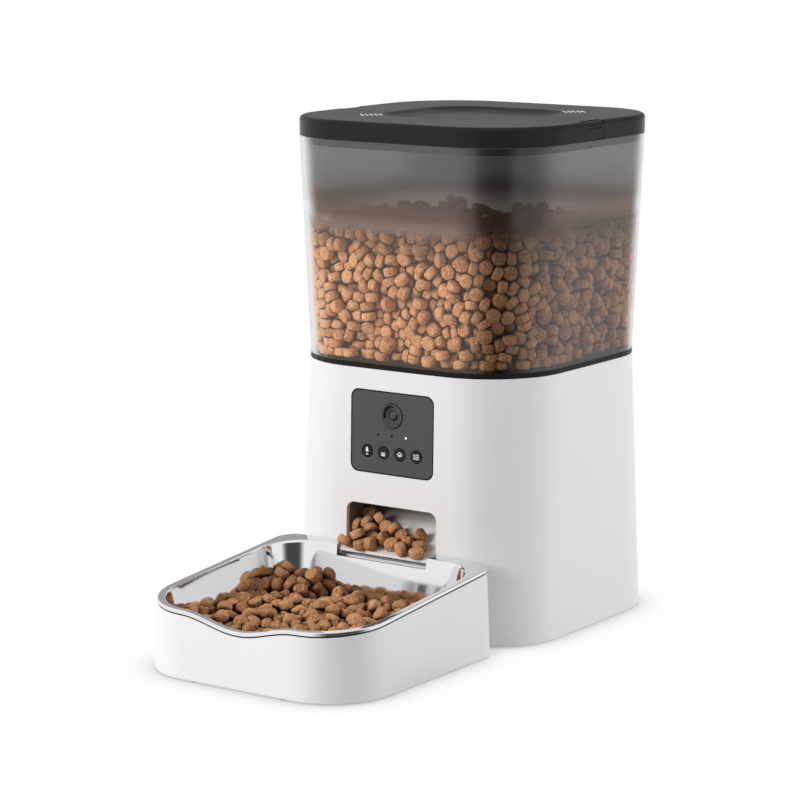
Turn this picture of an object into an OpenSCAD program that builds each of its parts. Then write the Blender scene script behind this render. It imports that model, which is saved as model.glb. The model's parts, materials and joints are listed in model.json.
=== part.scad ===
// Pet feeder with camera: a clear food tank with a latched lid on a motor base,
// a sloping chute, and a bowl tray with a steel bowl in front.
// Millimetres, +Z up, front towards -Y, origin at the middle of the footprint on the floor.

/* [Plan] */
// Width of the square plan at the lid, without the bow of its sides
top_w = 180.6; // [174:0.2:188]
// Width of the plan at the seam between tank and base
waist_w = 171.2; // [168:0.2:176]
// Width of the plan at the floor
foot_w = 178; // [174:0.5:184]
// Corner radius at the lid
top_r = 48.6; // [42:0.2:54]
// Corner radius at the seam
waist_r = 48; // [42:0.5:52]
// Corner radius at the floor
foot_r = 42.7; // [40:0.1:48]
// How far each side bulges out at its middle
side_bow = 1.5; // [0.5:0.1:2.5]

/* [Heights] */
// Height of the feet
foot_gap = 0.8; // [0.5:0.1:2]
// Height of the seam between tank and base
seam_z = 166.8; // [162:0.2:180]
// Height of the black band below the seam
band_h = 3.2; // [2.8:0.1:5]
// Height of the tank above the seam
tank_h = 134.8; // [110:0.2:180]
// Height of the lid above the tank
lid_h = 11.9; // [11:0.1:15]

/* [Walls] */
// Wall of the base housing
base_wall = 3; // [2.6:0.1:3.4]
// Wall of the tank
tank_wall = 2.6; // [2.2:0.1:3.2]
// Thickness of the lid's top
lid_t = 2.2; // [1.6:0.1:3]
// Wall of the tray
tray_wall = 2; // [1.6:0.1:3]
// Sheet of the steel bowl
steel_t = 0.9; // [0.6:0.1:1.2]
// Wall of the chute
chute_wall = 2; // [1.6:0.1:2.4]
// Seat clearance between parts that only locate each other
fit_gap = 0.3; // [0.2:0.05:0.5]
// Radial clearance of a turning shaft
run_gap = 0.05; // [0.02:0.01:0.1]

/* [Lid] */
// Half width of the dished recess
dish_half = 46.5; // [40:0.5:54]
// Corner radius of the recess
dish_r = 26; // [20:1:32]
// Depth of the recess
dish_depth = 2.4; // [1:0.1:3]
// How far the inner plug reaches into the tank
plug_h = 4.8; // [4:0.1:8]
// Distance of a slot group from the lid's middle
slot_far = 64; // [60:1:68]
// Slots in a group
slot_n = 5; // [3:1:6]
// Distance between slots
slot_pitch = 2.9; // [2.5:0.1:3.2]
// Length of a slot
slot_len = 12; // [8:0.5:14]
// Width of a slot
slot_w = 1.5; // [1:0.1:1.8]
// Width of a latch
latch_w = 21; // [16:0.5:26]
// Place of a latch along its side
latch_y = -6; // [-12:0.5:12]
// Thickness of a latch
latch_t = 3.4; // [2.8:0.1:3.8]
// Radius of a latch pin
latch_pin_r = 0.9; // [0.7:0.05:1.1]
// Radius of the desiccant cap
cap_r = 32.7; // [26:0.1:36]

/* [Panel] */
// Width of the control panel
panel_w = 61; // [58:0.5:64]
// Height of the control panel
panel_h = 51.2; // [50:0.2:54]
// Height of the panel's middle
panel_z = 125; // [124:0.5:127]
// Corner radius of the panel
panel_r = 5.5; // [3:0.5:8]
// Height of the camera's axis
lens_z = 135.9; // [134:0.1:138]
// Radius of the camera's ring
lens_r = 7.7; // [6.5:0.1:8.5]
// Height of the row of buttons
button_z = 112.8; // [111:0.1:114]
// Distance between buttons
button_pitch = 12.1; // [11.2:0.1:12.6]
// Radius of a button
button_r = 4; // [3.4:0.1:4.4]
// How far a button can be pressed
button_travel = 0.6; // [0.4:0.1:0.8]
// Height of the row of pin holes and the status light
dot_z = 123.5; // [122:0.1:125]
// Distance between those holes
dot_pitch = 10.3; // [9:0.1:12]
// Radius of those holes
dot_r = 0.75; // [0.6:0.05:1]

/* [Outlet and chute] */
// Width of the outlet
outlet_w = 66.6; // [60:0.2:68]
// Height of the outlet's upper edge
outlet_top = 80; // [78:0.5:84]
// Corner radius of the outlet
outlet_r = 5.5; // [3:0.5:8]
// Height of the chute's lip where it ends
lip_z = 52.5; // [51:0.1:53.5]
// How far the lip reaches out of the housing
lip_reach = 6.5; // [4:0.5:8]

/* [Rotor and drive] */
// Height of the cup's underside
cup_z = 106; // [104:0.5:108]
// Height of the cup
cup_h = 32; // [28:0.5:34]
// Inner radius of the cup
cup_r = 46; // [44:0.5:48]
// Vanes of the rotor
vane_n = 6; // [4:1:8]
// Thickness of a vane
vane_t = 3; // [2:0.1:5]
// Gap between the vanes and the cup
vane_gap = 1.5; // [1:0.1:2.5]
// Radius of the rotor shaft
shaft_r = 3; // [2.5:0.1:3.5]
// Module of the gear teeth
gear_m = 1.25; // [1.2:0.05:1.3]
// Teeth of the drive gear
gear_n = 32; // [28:1:33]
// Teeth of the motor pinion
pinion_n = 12; // [10:1:13]
// Width of the gears
gear_w = 8; // [6:0.5:9]
// Radius of the motor's can
motor_r = 12; // [10:0.5:14]
// Length of the motor's can
motor_l = 32; // [24:1:36]

/* [Tray and bowl] */
// Width of the tray at the floor
tray_w = 159.6; // [154:0.2:168]
// Length of the tray
tray_l = 153.1; // [140:0.5:180]
// Front corner radius of the tray
tray_r = 39.2; // [32:0.2:44]
// Rear corner radius of the tray
tray_back_r = 13; // [10:0.5:16]
// How far the tray's walls lean in towards the rim
tray_draft = 2.2; // [1:0.1:4]
// Height of the rim at the front
rim_front_z = 41.2; // [38:0.2:48]
// Height of the rim at the back
rim_back_z = 55; // [54.5:0.1:56]
// Depth of the dip in the front rim
dip_depth = 6.8; // [2:0.1:9]
// Half width of that dip
dip_half = 42; // [30:1:46]
// Width of the bowl's flange
flange_w = 4.6; // [4.4:0.1:6]
// Width of the flange at the back
flange_back_w = 8; // [7:0.1:10]
// Height of the skirt round the flange
skirt_h = 2.2; // [1.8:0.1:3]
// Height of the dark gap between the skirt and the tray
skirt_gap = 0.9; // [0.5:0.1:1.5]
// Height of the bowl's floor
bowl_floor_z = 9; // [7:0.5:14]
// How far the bowl's walls lean in towards the floor
bowl_draft = 5; // [3:0.5:12]
// Front corner radius of the bowl's opening
bowl_r = 33; // [28:0.5:36]
// Rear corner radius of the bowl's opening
bowl_back_r = 26; // [22:0.5:32]
// Width of the notch behind the bowl
notch_w = 71; // [70:0.2:74]

/* [Power] */
// Diameter of a battery cell
cell_d = 33.2; // [33:0.1:34]
// Length of a battery cell
cell_l = 61.5; // [61:0.1:62]
// Cells side by side
cell_n = 3; // [2:1:3]
// Height of the power inlet
jack_z = 58; // [56:0.5:66]
// Height of the speaker's middle
speaker_z = 112; // [104:1:120]
// Radius of the speaker
speaker_r = 18; // [14:0.5:20]

/* [Hidden] */
$fn = 48;

// Points on a corner arc, on a body side and on a tray side
corner_n = 9;
side_n = 4;
rim_n = 12;

// Plan and heights worked out from the driving sizes
front_y = min(skin_y(0, 0), skin_y(0, rim_back_z));
tray_gap = 0.5;
tray_back_y = front_y - tray_gap;
tray_front_y = tray_back_y - tray_l;
y_shift = -(tray_front_y + max(top_w, foot_w) / 2 + side_bow) / 2;
tank_top = seam_z + tank_h;
lid_top = tank_top + lid_h;
base_top = seam_z - band_h;
throat_z = cup_z + cup_h;

// How far a cut runs past the face it opens, and how deep a part is rooted in its neighbour
past = 5;
root = 0.5;
ahead_y = min(skin_y(0, 0), skin_y(0, seam_z)) - past;

// Screws
screw_r = 1.4;
screw_l = 9;
screw_bite = 4.5;
screw_free = 1;
screw_head_r = 2.6;
screw_head_h = 1.2;
screw_room = 0.3;

// Seam between tank and deck
rim_lip = 1.1;
tongue_h = 1.8;
gasket_t = 0.6;
step_z = seam_z - tongue_h - gasket_t;

// Panel and what stands behind it
panel_edge_t = 0.85;
panel_sink = 0.15;
pocket_y = max(skin_y(panel_w / 2, panel_z + panel_h / 2), skin_y(panel_w / 2, panel_z - panel_h / 2))
    + panel_edge_t;
window_edge = 4;
window_r = 2;
board_gap = 9.4;
board_y = pocket_y + board_gap;
board_t = 1.6;
board_edge = 5;
post_in = 6;
post_out = 2;
panel_post_r = 2.5;
switch_w = 6;
switch_h = 3.5;
plunger_r = 1.7;
plunger_h = 0.8;
flange_t = 1;
flange_out = 1;
stem_r = 1.5;
stem_gap = 0.15;
cap_proud = 0.3;
cap_edge = 0.35;
cap_dish = 0.25;
cap_dish_in = 1;
bore_gap = 0.2;
buttons_x = [-1.5, -0.5, 0.5, 1.5] * button_pitch;

// Camera
camera_w = 16;
camera_t = 4.5;
lens_proud = 0.4;
lens_y = skin_y(0, lens_z) - lens_proud;
lens_chamfer = 0.5;
lens_well_r = 5.4;
lens_well = 1.4;
lens_bore_r = 3.2;
lens_bore = 2.6;
glass_gap = 0.1;
glass_rise = 1.1;
glass_edge = 0.6;
dome_a = 60;
led_r = 1.6;
led_t = 4.5;

// Chute, as points of its section
cup_mouth = 20;
hopper_y = cup_mouth - cup_r;
chute_ahead = 4;
chute_top_y = -(cup_r + chute_ahead);
lip_fall = 3;
chute_low_z = lip_z + lip_fall;
chute_drop = 9;
chute_high_z = cup_z - chute_drop;
chute_gap = 0.4;
chute_half = outlet_w / 2 + chute_wall;
chute_end_y = max(skin_y(chute_half, outlet_top + chute_wall), skin_y(chute_half, lip_z))
    + base_wall + chute_gap;
chute_slope = (chute_high_z - chute_low_z) / (hopper_y - chute_end_y);
chute_floor = chute_wall * norm([1, chute_slope]);
lip_y = front_y - lip_reach;
lip_side_gap = 0.7;
sensor_w = 5;
sensor_h = 9;
sensor_drop = 4;

// Deck, cup and drive
deck_drop = 6;
deck_gap = 0.2;
cup_floor = 2;
cup_wall = 2.2;
cup_rim = 9;
cup_rim_t = 2.5;
cup_screw_in = 3.4;
gear_drop = 14;
gear_z = cup_z - gear_drop;
bracket_drop = 8;
bracket_t = 3;
bracket_z = gear_z - bracket_drop;
bracket_edge = 5;
axle_d = gear_m * (gear_n + pinion_n) / 2;
post_x = 26;
post_y = 14;
post_r = 3.2;
boss_h = 8;
pinion_shaft_r = 1.5;
pinion_shaft_in = 8;
pinion_over = 1;
bush_r = 5;
bush_flange = 2;
bush_cap = 2.4;
gear_hub_r = 6.5;
gear_hub_h = 2.5;
web_hole_r = 3;
motor_nose_r = 4;
motor_nose_l = 4;
tab_x = 6;
tab_w = 3;
tab_t = 0.8;
hub_r = 9;
hub_tip_r = 5;
hub_tip = 6;
hub_gap = 0.5;
vane_drop = 6.5;
vane_root = 2;
shaft_in = 19;
press_gap = 0.01;
finger_hub_r = 4;
finger_hub_h = 4;
finger_r = 1.8;
finger_l = 26;
finger_lean = 50;
pressure = 22;
backlash = 0.2;
gear_add = 0.9;
gear_ded = 1.25;
pinion_add = 0.95;
pinion_ded = 1.2;
web_n = 6;
web_r = (gear_hub_r + gear_m * (gear_n / 2 - gear_ded)) / 2;

// Tray and bowl
skirt_room = 0.5;
skirt_edge = 0.5;
bowl_round = 12;
bowl_roll = 1.5;
bend_n = 3;
rim_low = skirt_h + skirt_gap;
rim_step = steel_t + skirt_room;
ledge_low = steel_t + fit_gap;
ledge_w = flange_w - bowl_roll - fit_gap;
ledge_back_w = flange_back_w - bowl_roll - fit_gap;
rim_t = 1.3;
ledge_t = rim_low - ledge_low + rim_t;
hem_w = 12;
hem_t = 2;
least_r = 2;
notch_drop = 5;
notch_z = lip_z - notch_drop;
notch_l = 16;
notch_side = 2;
notch_taper = 5;
tongue_x = 44;
tongue_w = 12;
tongue_t = 4;
tongue_l = 8;
tongue_z = 10;
pad_r = 4;
pad_in = 14;
pad_x = 32;

// Base plate and battery bay
plate_t = 2.5;
plate_top = foot_gap + plate_t;
boss_r = 4.5;
boss_l = 12;
boss_sink = 0.8;
screw_xy = corner_xy(plate_top, base_wall) - (boss_r - boss_sink) * sqrt(0.5);
foot_in_y = 45;
foot_y = foot_w / 2 - foot_in_y;
foot_pad_r = 6;
foot_seat = 1.4;
foot_edge = 0.5;
bay_wall = 1.6;
bay_clear = 0.8;
bay_inset = 8;
contact_t = 0.5;
contact_w = 16;
contact_h = 14;
spring_l = 2;
spring_r = 6;
bay_w = cell_n * (cell_d + bay_clear);
bay_l = cell_l + 2 * contact_t + spring_l;
bay_y1 = foot_w / 2 - bay_inset;
bay_y0 = bay_y1 - bay_l;
bay_top = plate_top + cell_d + bay_clear;
cell_lift = 0.2;
cell_z = plate_top + cell_lift + cell_d / 2;
cell_y = (bay_y0 + bay_y1) / 2;
cell_edge = 1;
cell_tip_r = 4.5;
cell_tip_h = 1.5;
door_edge = 1.5;
door_t = 1.4;
door_gap = 0.1;
foot_x = (bay_w / 2 + door_edge + fit_gap + foot_w / 2 - base_wall) / 2;
hinge_r = 1.2;
hinge_pin_r = 0.6;
hinge_pin_l = 2;
hinge_y = bay_y0 - door_edge;
hinge_z = foot_gap + hinge_r;
thumb_w = 24;
thumb_r = 3;
thumb_in = 6;
thumb_drop = 2.4;
grip_n = 4;
grip_pitch = 3;
grip_w = 1;
grip_l = 28;
grip_deep = 0.4;

// Main board and its parts
main_in_x = 29;
main_in_y = 13;
main_bay_gap = 18.5;
main_x = foot_w / 2 - main_in_x;
main_y0 = main_in_y - foot_w / 2;
main_y1 = bay_y0 - main_bay_gap;
main_lift = 6;
main_z = plate_top + main_lift;
main_post_in = 4;
main_post_r = 3;
radio_w = 22;
radio_l = 30;
radio_h = 2.6;
chip_w = 14;
chip_h = 1.4;
chip_x = 3.5;
coil_w = 8;
coil_h = 4;
part_in = 12;
can_n = 3;
can_r = 4;
can_h = 9;
can_pitch = 12;
header_n = 4;
header_w = 10;
header_l = 6;
header_pitch = 14;

// Rear wall
grille_n = 3;
grille_pitch = 4.8;
grille_r = 1.1;
speaker_gap = 0.6;
speaker_cone = 4.5;
speaker_edge = 2.5;
magnet_in = 7;
magnet_l = 11;
speaker_y = -skin_y(0, speaker_z) - base_wall;
jack_r = 4;
jack_l = 9;
jack_hole_r = 2.8;
jack_pin_r = 0.9;
jack_sink = 0.2;
jack_box_w = 11;
jack_box_l = 12;
jack_y = -skin_y(0, jack_z);

// Lid
plug_gap = 0.6;
plug_wall = 2;
fillet = 2.7;
fillet_n = 3;
dish_slope = 10;
dish_knee = 3;
dish_fall = 0.8;
dish_turn = 0.8;
cap_tube_t = 2;
cap_tube_low = 2;
slot_deep = 1.2;
latch_back = 2;
notch_depth = latch_t + latch_back;
latch_face = tank_half(tank_top) + side_bow;
latch_axis_x = latch_face - latch_t / 2;
latch_axis_z = tank_top + lid_h / 2;
latch_sink = 0.1;
latch_edge = 0.6;
latch_pin_out = 2.2;
groove_in = 2.5;
groove_w = 0.8;
groove_low = 1.8;
groove_pitch = 2.2;
catch_w = 10;
catch_h = 2.4;
catch_low = 4.6;
catch_proud = 0.2;
catch_z = tank_top - catch_low;
seal_low = 1;
seal_h = 2;
seal_gap = 0.2;
seal_z = tank_top - plug_h + seal_low;
cap_t = 2.4;
cap_low = 3.4;
cap_z = tank_top - cap_low;
cap_grip_l = 20;
cap_grip_w = 3;
cap_grip_h = 2;
cap_slit_n = 4;
cap_slit_pitch = 5;
cap_slit_w = 2;
pack_h = 5;
pack_edge = 1.5;

// Colours
white = "#f2f2f1";
black = "#222222";
grey = "#5c5c5c";
steel = "#c9ccd0";
brass = "#c8a24a";
green = "#1f6b45";
clear = [0.75, 0.75, 0.78, 0.45];

function mix(a, b, t) = a + (b - a) * t;
function base_half(z) = mix(foot_w, waist_w, z / seam_z) / 2;
function base_r(z) = mix(foot_r, waist_r, z / seam_z);
function tank_half(z) = mix(waist_w, top_w, (z - seam_z) / tank_h) / 2;
function tank_r(z) = mix(waist_r, top_r, (z - seam_z) / tank_h);

// Moves an outline's point out so that each side of a square of half width h bulges
function bulge(p, h) = [p.x * (1 + side_bow / h * (1 - pow(p.y / h, 2))),
    p.y * (1 + side_bow / h * (1 - pow(p.x / h, 2)))];

// Front face of the base housing, and the middle of its corner arc drawn in by an inset
function skin_y(x, z) = -bulge([x, base_half(z)], base_half(z)).y;
function corner_xy(z, inset) =
    let (h = base_half(z) - inset)
    let (c = h - (base_r(z) - inset) * (1 - sqrt(0.5)))
    bulge([c, c], h).x;

// Rounded rectangle, anticlockwise from its right rear corner, with its own radius at back and front
function outline(hx, y0, y1, rb, rf, sides) =
    let (c = [[hx - rb, y1 - rb, rb], [rb - hx, y1 - rb, rb], [rf - hx, y0 + rf, rf], [hx - rf, y0 + rf, rf]])
    let (arcs = [for (k = [0 : 3]) [for (i = [0 : corner_n])
        let (a = 90 * (k + i / corner_n)) [c[k][0] + c[k][2] * cos(a), c[k][1] + c[k][2] * sin(a)]]])
    [for (k = [0 : 3]) each concat(arcs[k],
        [for (j = [1 : sides - 1]) mix(arcs[k][corner_n], arcs[(k + 1) % 4][0], j / sides)])];

// Level ring of the body's plan, drawn in by an inset
function body_ring(half, r, z, inset = 0) =
    let (h = half - inset)
    let (q = max(r - inset, 1))
    [for (p = outline(h, -h, h, q, q, side_n)) let (b = bulge(p, h)) [b.x, b.y, z]];
function base_ring(z, inset = 0) = body_ring(base_half(z), base_r(z), z, inset);
function tank_ring(z, inset = 0) = body_ring(tank_half(z), tank_r(z), z, inset);
function lid_ring(z, inset) = body_ring(top_w / 2, top_r, z, inset);

// Round ring with as many points as a body ring
function round_ring(r, z) =
    [for (p = outline(1, -1, 1, 0.5, 0.5, side_n)) let (n = norm(p)) [p.x / n * r, p.y / n * r, z]];

// Height of the tray's rim: a slope to the front with one smooth dip in the front edge
function rim_z(p) =
    let (slope = mix(rim_front_z, rim_back_z, (p.y - tray_front_y) / tray_l))
    let (dips = p.y < tray_front_y + tray_r && abs(p.x) < dip_half)
    slope - (dips ? dip_depth * (1 + cos(180 * p.x / dip_half)) / 2 : 0);
function tray_plan(inset, back) =
    outline(tray_w / 2 - inset, tray_front_y + inset, tray_back_y - back,
        max(tray_back_r - back, least_r), max(tray_r - inset, least_r), rim_n);
function flat_ring(q, z) = [for (p = q) [p.x, p.y, z]];
function rim_ring(q, drop) = [for (p = q) [p.x, p.y, rim_z(p) - drop]];

// Plan of the bowl's opening, drawn in by an inset
function bowl_plan(inset) =
    let (in = tray_draft + flange_w + inset)
    outline(tray_w / 2 - in, tray_front_y + in, tray_back_y - flange_back_w - inset,
        max(bowl_back_r - inset, least_r), max(bowl_r - inset, least_r), rim_n);

// One gear tooth as an involute, from the root over one flank to the tip and back
function involute(rb, t) = [rb * (cos(t) + t * PI / 180 * sin(t)), rb * (sin(t) - t * PI / 180 * cos(t))];
function turned(p, a) = [p.x * cos(a) - p.y * sin(a), p.x * sin(a) + p.y * cos(a)];
function roll_at(rb, r) = r > rb ? sqrt(pow(r / rb, 2) - 1) * 180 / PI : 0;
function flank(n, add, ded) =
    let (rp = gear_m * n / 2)
    let (rb = rp * cos(pressure))
    let (r0 = rp - ded * gear_m)
    let (t0 = roll_at(rb, r0))
    let (t1 = roll_at(rb, rp + add * gear_m))
    let (tp = roll_at(rb, rp))
    let (lead = 90 / n - backlash / rp * 90 / PI + tp - atan(tp * PI / 180))
    let (curve = [for (i = [0 : 3]) turned(involute(rb, mix(t0, t1, i / 3)), -lead)])
    r0 < rb ? concat([curve[0] * r0 / rb], curve) : curve;
function gear_outline(n, add, ded) =
    let (up = flank(n, add, ded))
    [for (k = [0 : n - 1]) each concat([for (p = up) turned(p, 360 * k / n)],
        [for (i = [len(up) - 1 : -1 : 0]) turned([up[i].x, -up[i].y], 360 * k / n)])];

// Solid through rings of points; a loop joins the last ring to the first, and otherwise fans close the ends
function middle(q) = [for (p = q) 1] * q / len(q);
module skin(rings, loop = false) {
    n = len(rings[0]);
    m = len(rings);
    sides = [for (i = [0 : loop ? m - 1 : m - 2]) for (j = [0 : n - 1])
        let (k = (j + 1) % n) let (u = (i + 1) % m)
        each [[i * n + j, u * n + j, u * n + k], [i * n + j, u * n + k, i * n + k]]];
    ends = loop ? [] : [for (j = [0 : n - 1]) let (k = (j + 1) % n)
        each [[m * n, j, k], [m * n + 1, (m - 1) * n + k, (m - 1) * n + j]]];
    tips = loop ? [] : [middle(rings[0]), middle(rings[m - 1])];
    polyhedron(concat([for (q = rings) each q], tips), concat(ends, sides));
}

// Moves a part from the body's axis to the middle of the footprint
module place() translate([0, y_shift, 0]) children();

// Cylinder along +Y, and one along X about the middle
module rod_y(r, y0, y1, x, z) translate([x, y0, z]) rotate([-90, 0, 0]) cylinder(r = r, h = y1 - y0);
module rod_x(r, l, y, z) translate([-l / 2, y, z]) rotate([0, 90, 0]) cylinder(r = r, h = l);

// Profile turned about an axis along +Y, with its height running from the front to the back
module lathe_y(x, y, z) translate([x, y, z]) rotate([-90, 0, 0]) rotate_extrude() children();

// Rounded plate in the XZ plane, from y0 to y1
module slab_y(w, h, r, y0, y1, z) translate([0, y1, z]) rotate([90, 0, 0]) linear_extrude(y1 - y0)
    union() {
        square([w - 2 * r, h], center = true);
        square([w, h - 2 * r], center = true);
        for (sx = [-1, 1], sy = [-1, 1]) translate([sx * (w / 2 - r), sy * (h / 2 - r)]) circle(r);
    }

// Section in the YZ plane, drawn out to a width about the middle
module section_x(points, w) translate([-w / 2, 0, 0]) rotate([90, 0, 90]) linear_extrude(w) polygon(points);

module box(x0, x1, y0, y1, z0, z1) translate([x0, y0, z0]) cube([x1 - x0, y1 - y0, z1 - z0]);
module block(x, y, z, w, l, h) box(x - w / 2, x + w / 2, y - l / 2, y + l / 2, z, z + h);
module drum(r, z0, z1) translate([0, 0, z0]) cylinder(r = r, h = z1 - z0);
module corners(x, y) for (sx = [-1, 1], sy = [-1, 1]) translate([sx * x, sy * y, 0]) children();
module both_sides() for (s = [0, 1]) mirror([s, 0, 0]) children();

// Pan head screw with its head below z and its shank above
module screw(z, l) {
    drum(screw_head_r, z - screw_head_h, z);
    drum(screw_r, z, z + l);
}

// Base housing

// Loft with the panel's pocket, the outlet, the tray's sockets, the grille and the inlet cut through it
module base_shell() color(white) place() difference() {
    union() {
        skin([base_ring(foot_gap), base_ring(base_top), base_ring(base_top, base_wall),
            base_ring(foot_gap, base_wall)], loop = true);
        corners(screw_xy, screw_xy) drum(boss_r, plate_top, plate_top + boss_l);
        for (x = [-1, 1] * (panel_w / 2 + post_out), z = [-1, 1] * (panel_h / 2 - post_in))
            rod_y(panel_post_r, skin_y(x, panel_z + z) + base_wall / 2, board_y, x, panel_z + z);
    }
    slab_y(panel_w + fit_gap, panel_h + fit_gap, panel_r, ahead_y, pocket_y, panel_z);
    slab_y(panel_w - 2 * window_edge, panel_h - 2 * window_edge, window_r, pocket_y - root, pocket_y + past,
        panel_z);
    slab_y(outlet_w, outlet_top - notch_z, outlet_r, ahead_y, front_y + 2 * past,
        (outlet_top + notch_z) / 2);
    both_sides() box(tongue_x - tongue_w / 2 - fit_gap, tongue_x + tongue_w / 2 + fit_gap, ahead_y,
        front_y + 2 * past, tongue_z - fit_gap, tongue_z + tongue_t + fit_gap);
    corners(screw_xy, screw_xy) drum(screw_r + run_gap, plate_top - root, plate_top + screw_l);
    for (k = [0 : grille_n], i = [0 : max(6 * k, 1) - 1])
        rod_y(grille_r, speaker_y - past, speaker_y + 2 * past, k * grille_pitch * cos(60 * i / max(k, 1)),
            speaker_z + k * grille_pitch * sin(60 * i / max(k, 1)));
    rod_y(jack_r + run_gap, jack_y - 2 * past, jack_y + past, 0, jack_z);
}

// Floor plate with the battery bay, the hinge bores of its door and the posts of the main board
module base_plate() color(white) place() difference() {
    union() {
        translate([0, 0, foot_gap]) linear_extrude(plate_t)
            polygon([for (p = base_ring(foot_gap, base_wall + fit_gap)) [p.x, p.y]]);
        box(-bay_w / 2 - bay_wall, bay_w / 2 + bay_wall, bay_y0 - bay_wall, bay_y1 + bay_wall,
            plate_top - root, bay_top + bay_wall);
        for (x = [-1, 1] * (main_x - main_post_in), y = [main_y0 + main_post_in, main_y1 - main_post_in])
            translate([x, y, 0]) drum(main_post_r, plate_top - root, main_z);
    }
    box(-bay_w / 2, bay_w / 2, bay_y0, bay_y1, 0, bay_top);
    box(-bay_w / 2 - door_edge - fit_gap, bay_w / 2 + door_edge + fit_gap, hinge_y - hinge_r - fit_gap,
        bay_y1 + door_edge + fit_gap, 0, foot_gap + max(door_t, 2 * hinge_r) + door_gap);
    rod_x(hinge_pin_r + run_gap, bay_w + 2 * (door_edge + hinge_pin_l + fit_gap), hinge_y, hinge_z);
    corners(screw_xy, screw_xy) {
        drum(screw_r + screw_room, 0, plate_top + past);
        drum(screw_head_r + screw_room, 0, foot_gap + screw_head_h + door_gap);
    }
    corners(foot_x, foot_y) drum(foot_pad_r + door_gap, 0, foot_gap + foot_seat);
}

module rubber_feet() color(black) place() corners(foot_x, foot_y) rotate_extrude()
    polygon([[0, 0], [foot_pad_r - foot_edge, 0], [foot_pad_r, foot_edge], [foot_pad_r, foot_gap + foot_seat],
        [0, foot_gap + foot_seat]]);

module plate_screws() color(steel) place() corners(screw_xy, screw_xy)
    screw(foot_gap + screw_head_h + door_gap, screw_l);

// Door that swings down on a round bead with a short pin at each end, with a thumb hollow and grip grooves
module battery_door() color(white) place() difference() {
    union() {
        box(-bay_w / 2 - door_edge, bay_w / 2 + door_edge, hinge_y, bay_y1 + door_edge, foot_gap,
            foot_gap + door_t);
        rod_x(hinge_r, bay_w + 2 * door_edge, hinge_y, hinge_z);
        rod_x(hinge_pin_r, bay_w + 2 * (door_edge + hinge_pin_l), hinge_y, hinge_z);
    }
    rod_x(thumb_r, thumb_w, bay_y1 - thumb_in, foot_gap - thumb_drop);
    for (i = [1 : grip_n]) block(0, bay_y1 - 2 * thumb_in - grip_pitch * i, foot_gap - root, grip_l, grip_w,
        root + grip_deep);
}

function cell_x(i) = (i - (cell_n - 1) / 2) * (cell_d + bay_clear);

// Neighbouring cells point opposite ways
module facing(i) translate([cell_x(i), cell_y, cell_z]) mirror([0, i % 2, 0]) children();

module battery_cells() color("#3a3f46") place() for (i = [0 : cell_n - 1]) facing(i)
    translate([0, spring_l / 2 - cell_l / 2, 0]) rotate([-90, 0, 0]) rotate_extrude() polygon([[0, 0],
        [cell_d / 2 - cell_edge, 0], [cell_d / 2, cell_edge], [cell_d / 2, cell_l - cell_tip_h - cell_edge],
        [cell_d / 2 - cell_edge, cell_l - cell_tip_h], [cell_tip_r, cell_l - cell_tip_h],
        [cell_tip_r, cell_l], [0, cell_l]]);

module battery_contacts() color(steel) place() for (i = [0 : cell_n - 1]) facing(i) {
    block(0, (contact_t - bay_l) / 2, -contact_h / 2, contact_w, contact_t, contact_h);
    translate([0, contact_t - bay_l / 2, 0]) rotate([-90, 0, 0])
        cylinder(r1 = spring_r, r2 = cell_tip_r, h = spring_l);
    block(0, (bay_l - contact_t) / 2, -contact_h / 2, contact_w, contact_t, contact_h);
}

// Hopper, rotor and drive

// Square-to-round funnel hung on the housing's upper edge
module hopper_deck() color(black) place() difference() {
    skin([base_ring(base_top), base_ring(seam_z), base_ring(seam_z, rim_lip), base_ring(step_z, rim_lip),
        base_ring(step_z, base_wall + fit_gap), round_ring(cup_r, throat_z),
        round_ring(cup_r + cup_rim, throat_z),
        base_ring(base_top - deck_drop, base_wall + fit_gap + deck_gap),
        base_ring(base_top, base_wall + fit_gap)], loop = true);
    cup_screw_places() drum(screw_r + run_gap, throat_z - root, throat_z + screw_bite);
}

module cup_screw_places() for (a = [45 : 90 : 315]) rotate(a)
    translate([cup_r + cup_rim - cup_screw_in, 0, 0]) children();

module tank_gasket() color(black) place() skin([base_ring(step_z, rim_lip + fit_gap),
    base_ring(step_z + gasket_t, rim_lip + fit_gap), base_ring(step_z + gasket_t, tank_wall),
    base_ring(step_z, tank_wall)], loop = true);

// Round cup with a mouth in its floor and four bosses for the bracket
module rotor_cup() color(white) place() difference() {
    union() {
        rotate_extrude() polygon([[bush_r + run_gap, cup_z], [cup_r + cup_wall, cup_z],
            [cup_r + cup_wall, throat_z - cup_rim_t], [cup_r + cup_rim, throat_z - cup_rim_t],
            [cup_r + cup_rim, throat_z], [cup_r, throat_z], [cup_r, cup_z + cup_floor],
            [bush_r + run_gap, cup_z + cup_floor]]);
        corners(post_x, post_y) drum(post_r, cup_z - boss_h, cup_z + root);
    }
    intersection() {
        drum(cup_r - root, cup_z - past, cup_z + cup_floor + past);
        box(root - outlet_w / 2, outlet_w / 2 - root, -cup_r, hopper_y - root, cup_z - past,
            cup_z + cup_floor + past);
    }
    corners(post_x, post_y) drum(screw_r + run_gap, cup_z - boss_h - root, cup_z - root);
    cup_screw_places() drum(screw_r + screw_room, throat_z - past, throat_z + past);
}

module cup_screws() color(steel) place() cup_screw_places()
    screw(throat_z - cup_rim_t, cup_rim_t + screw_bite - screw_free);

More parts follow.
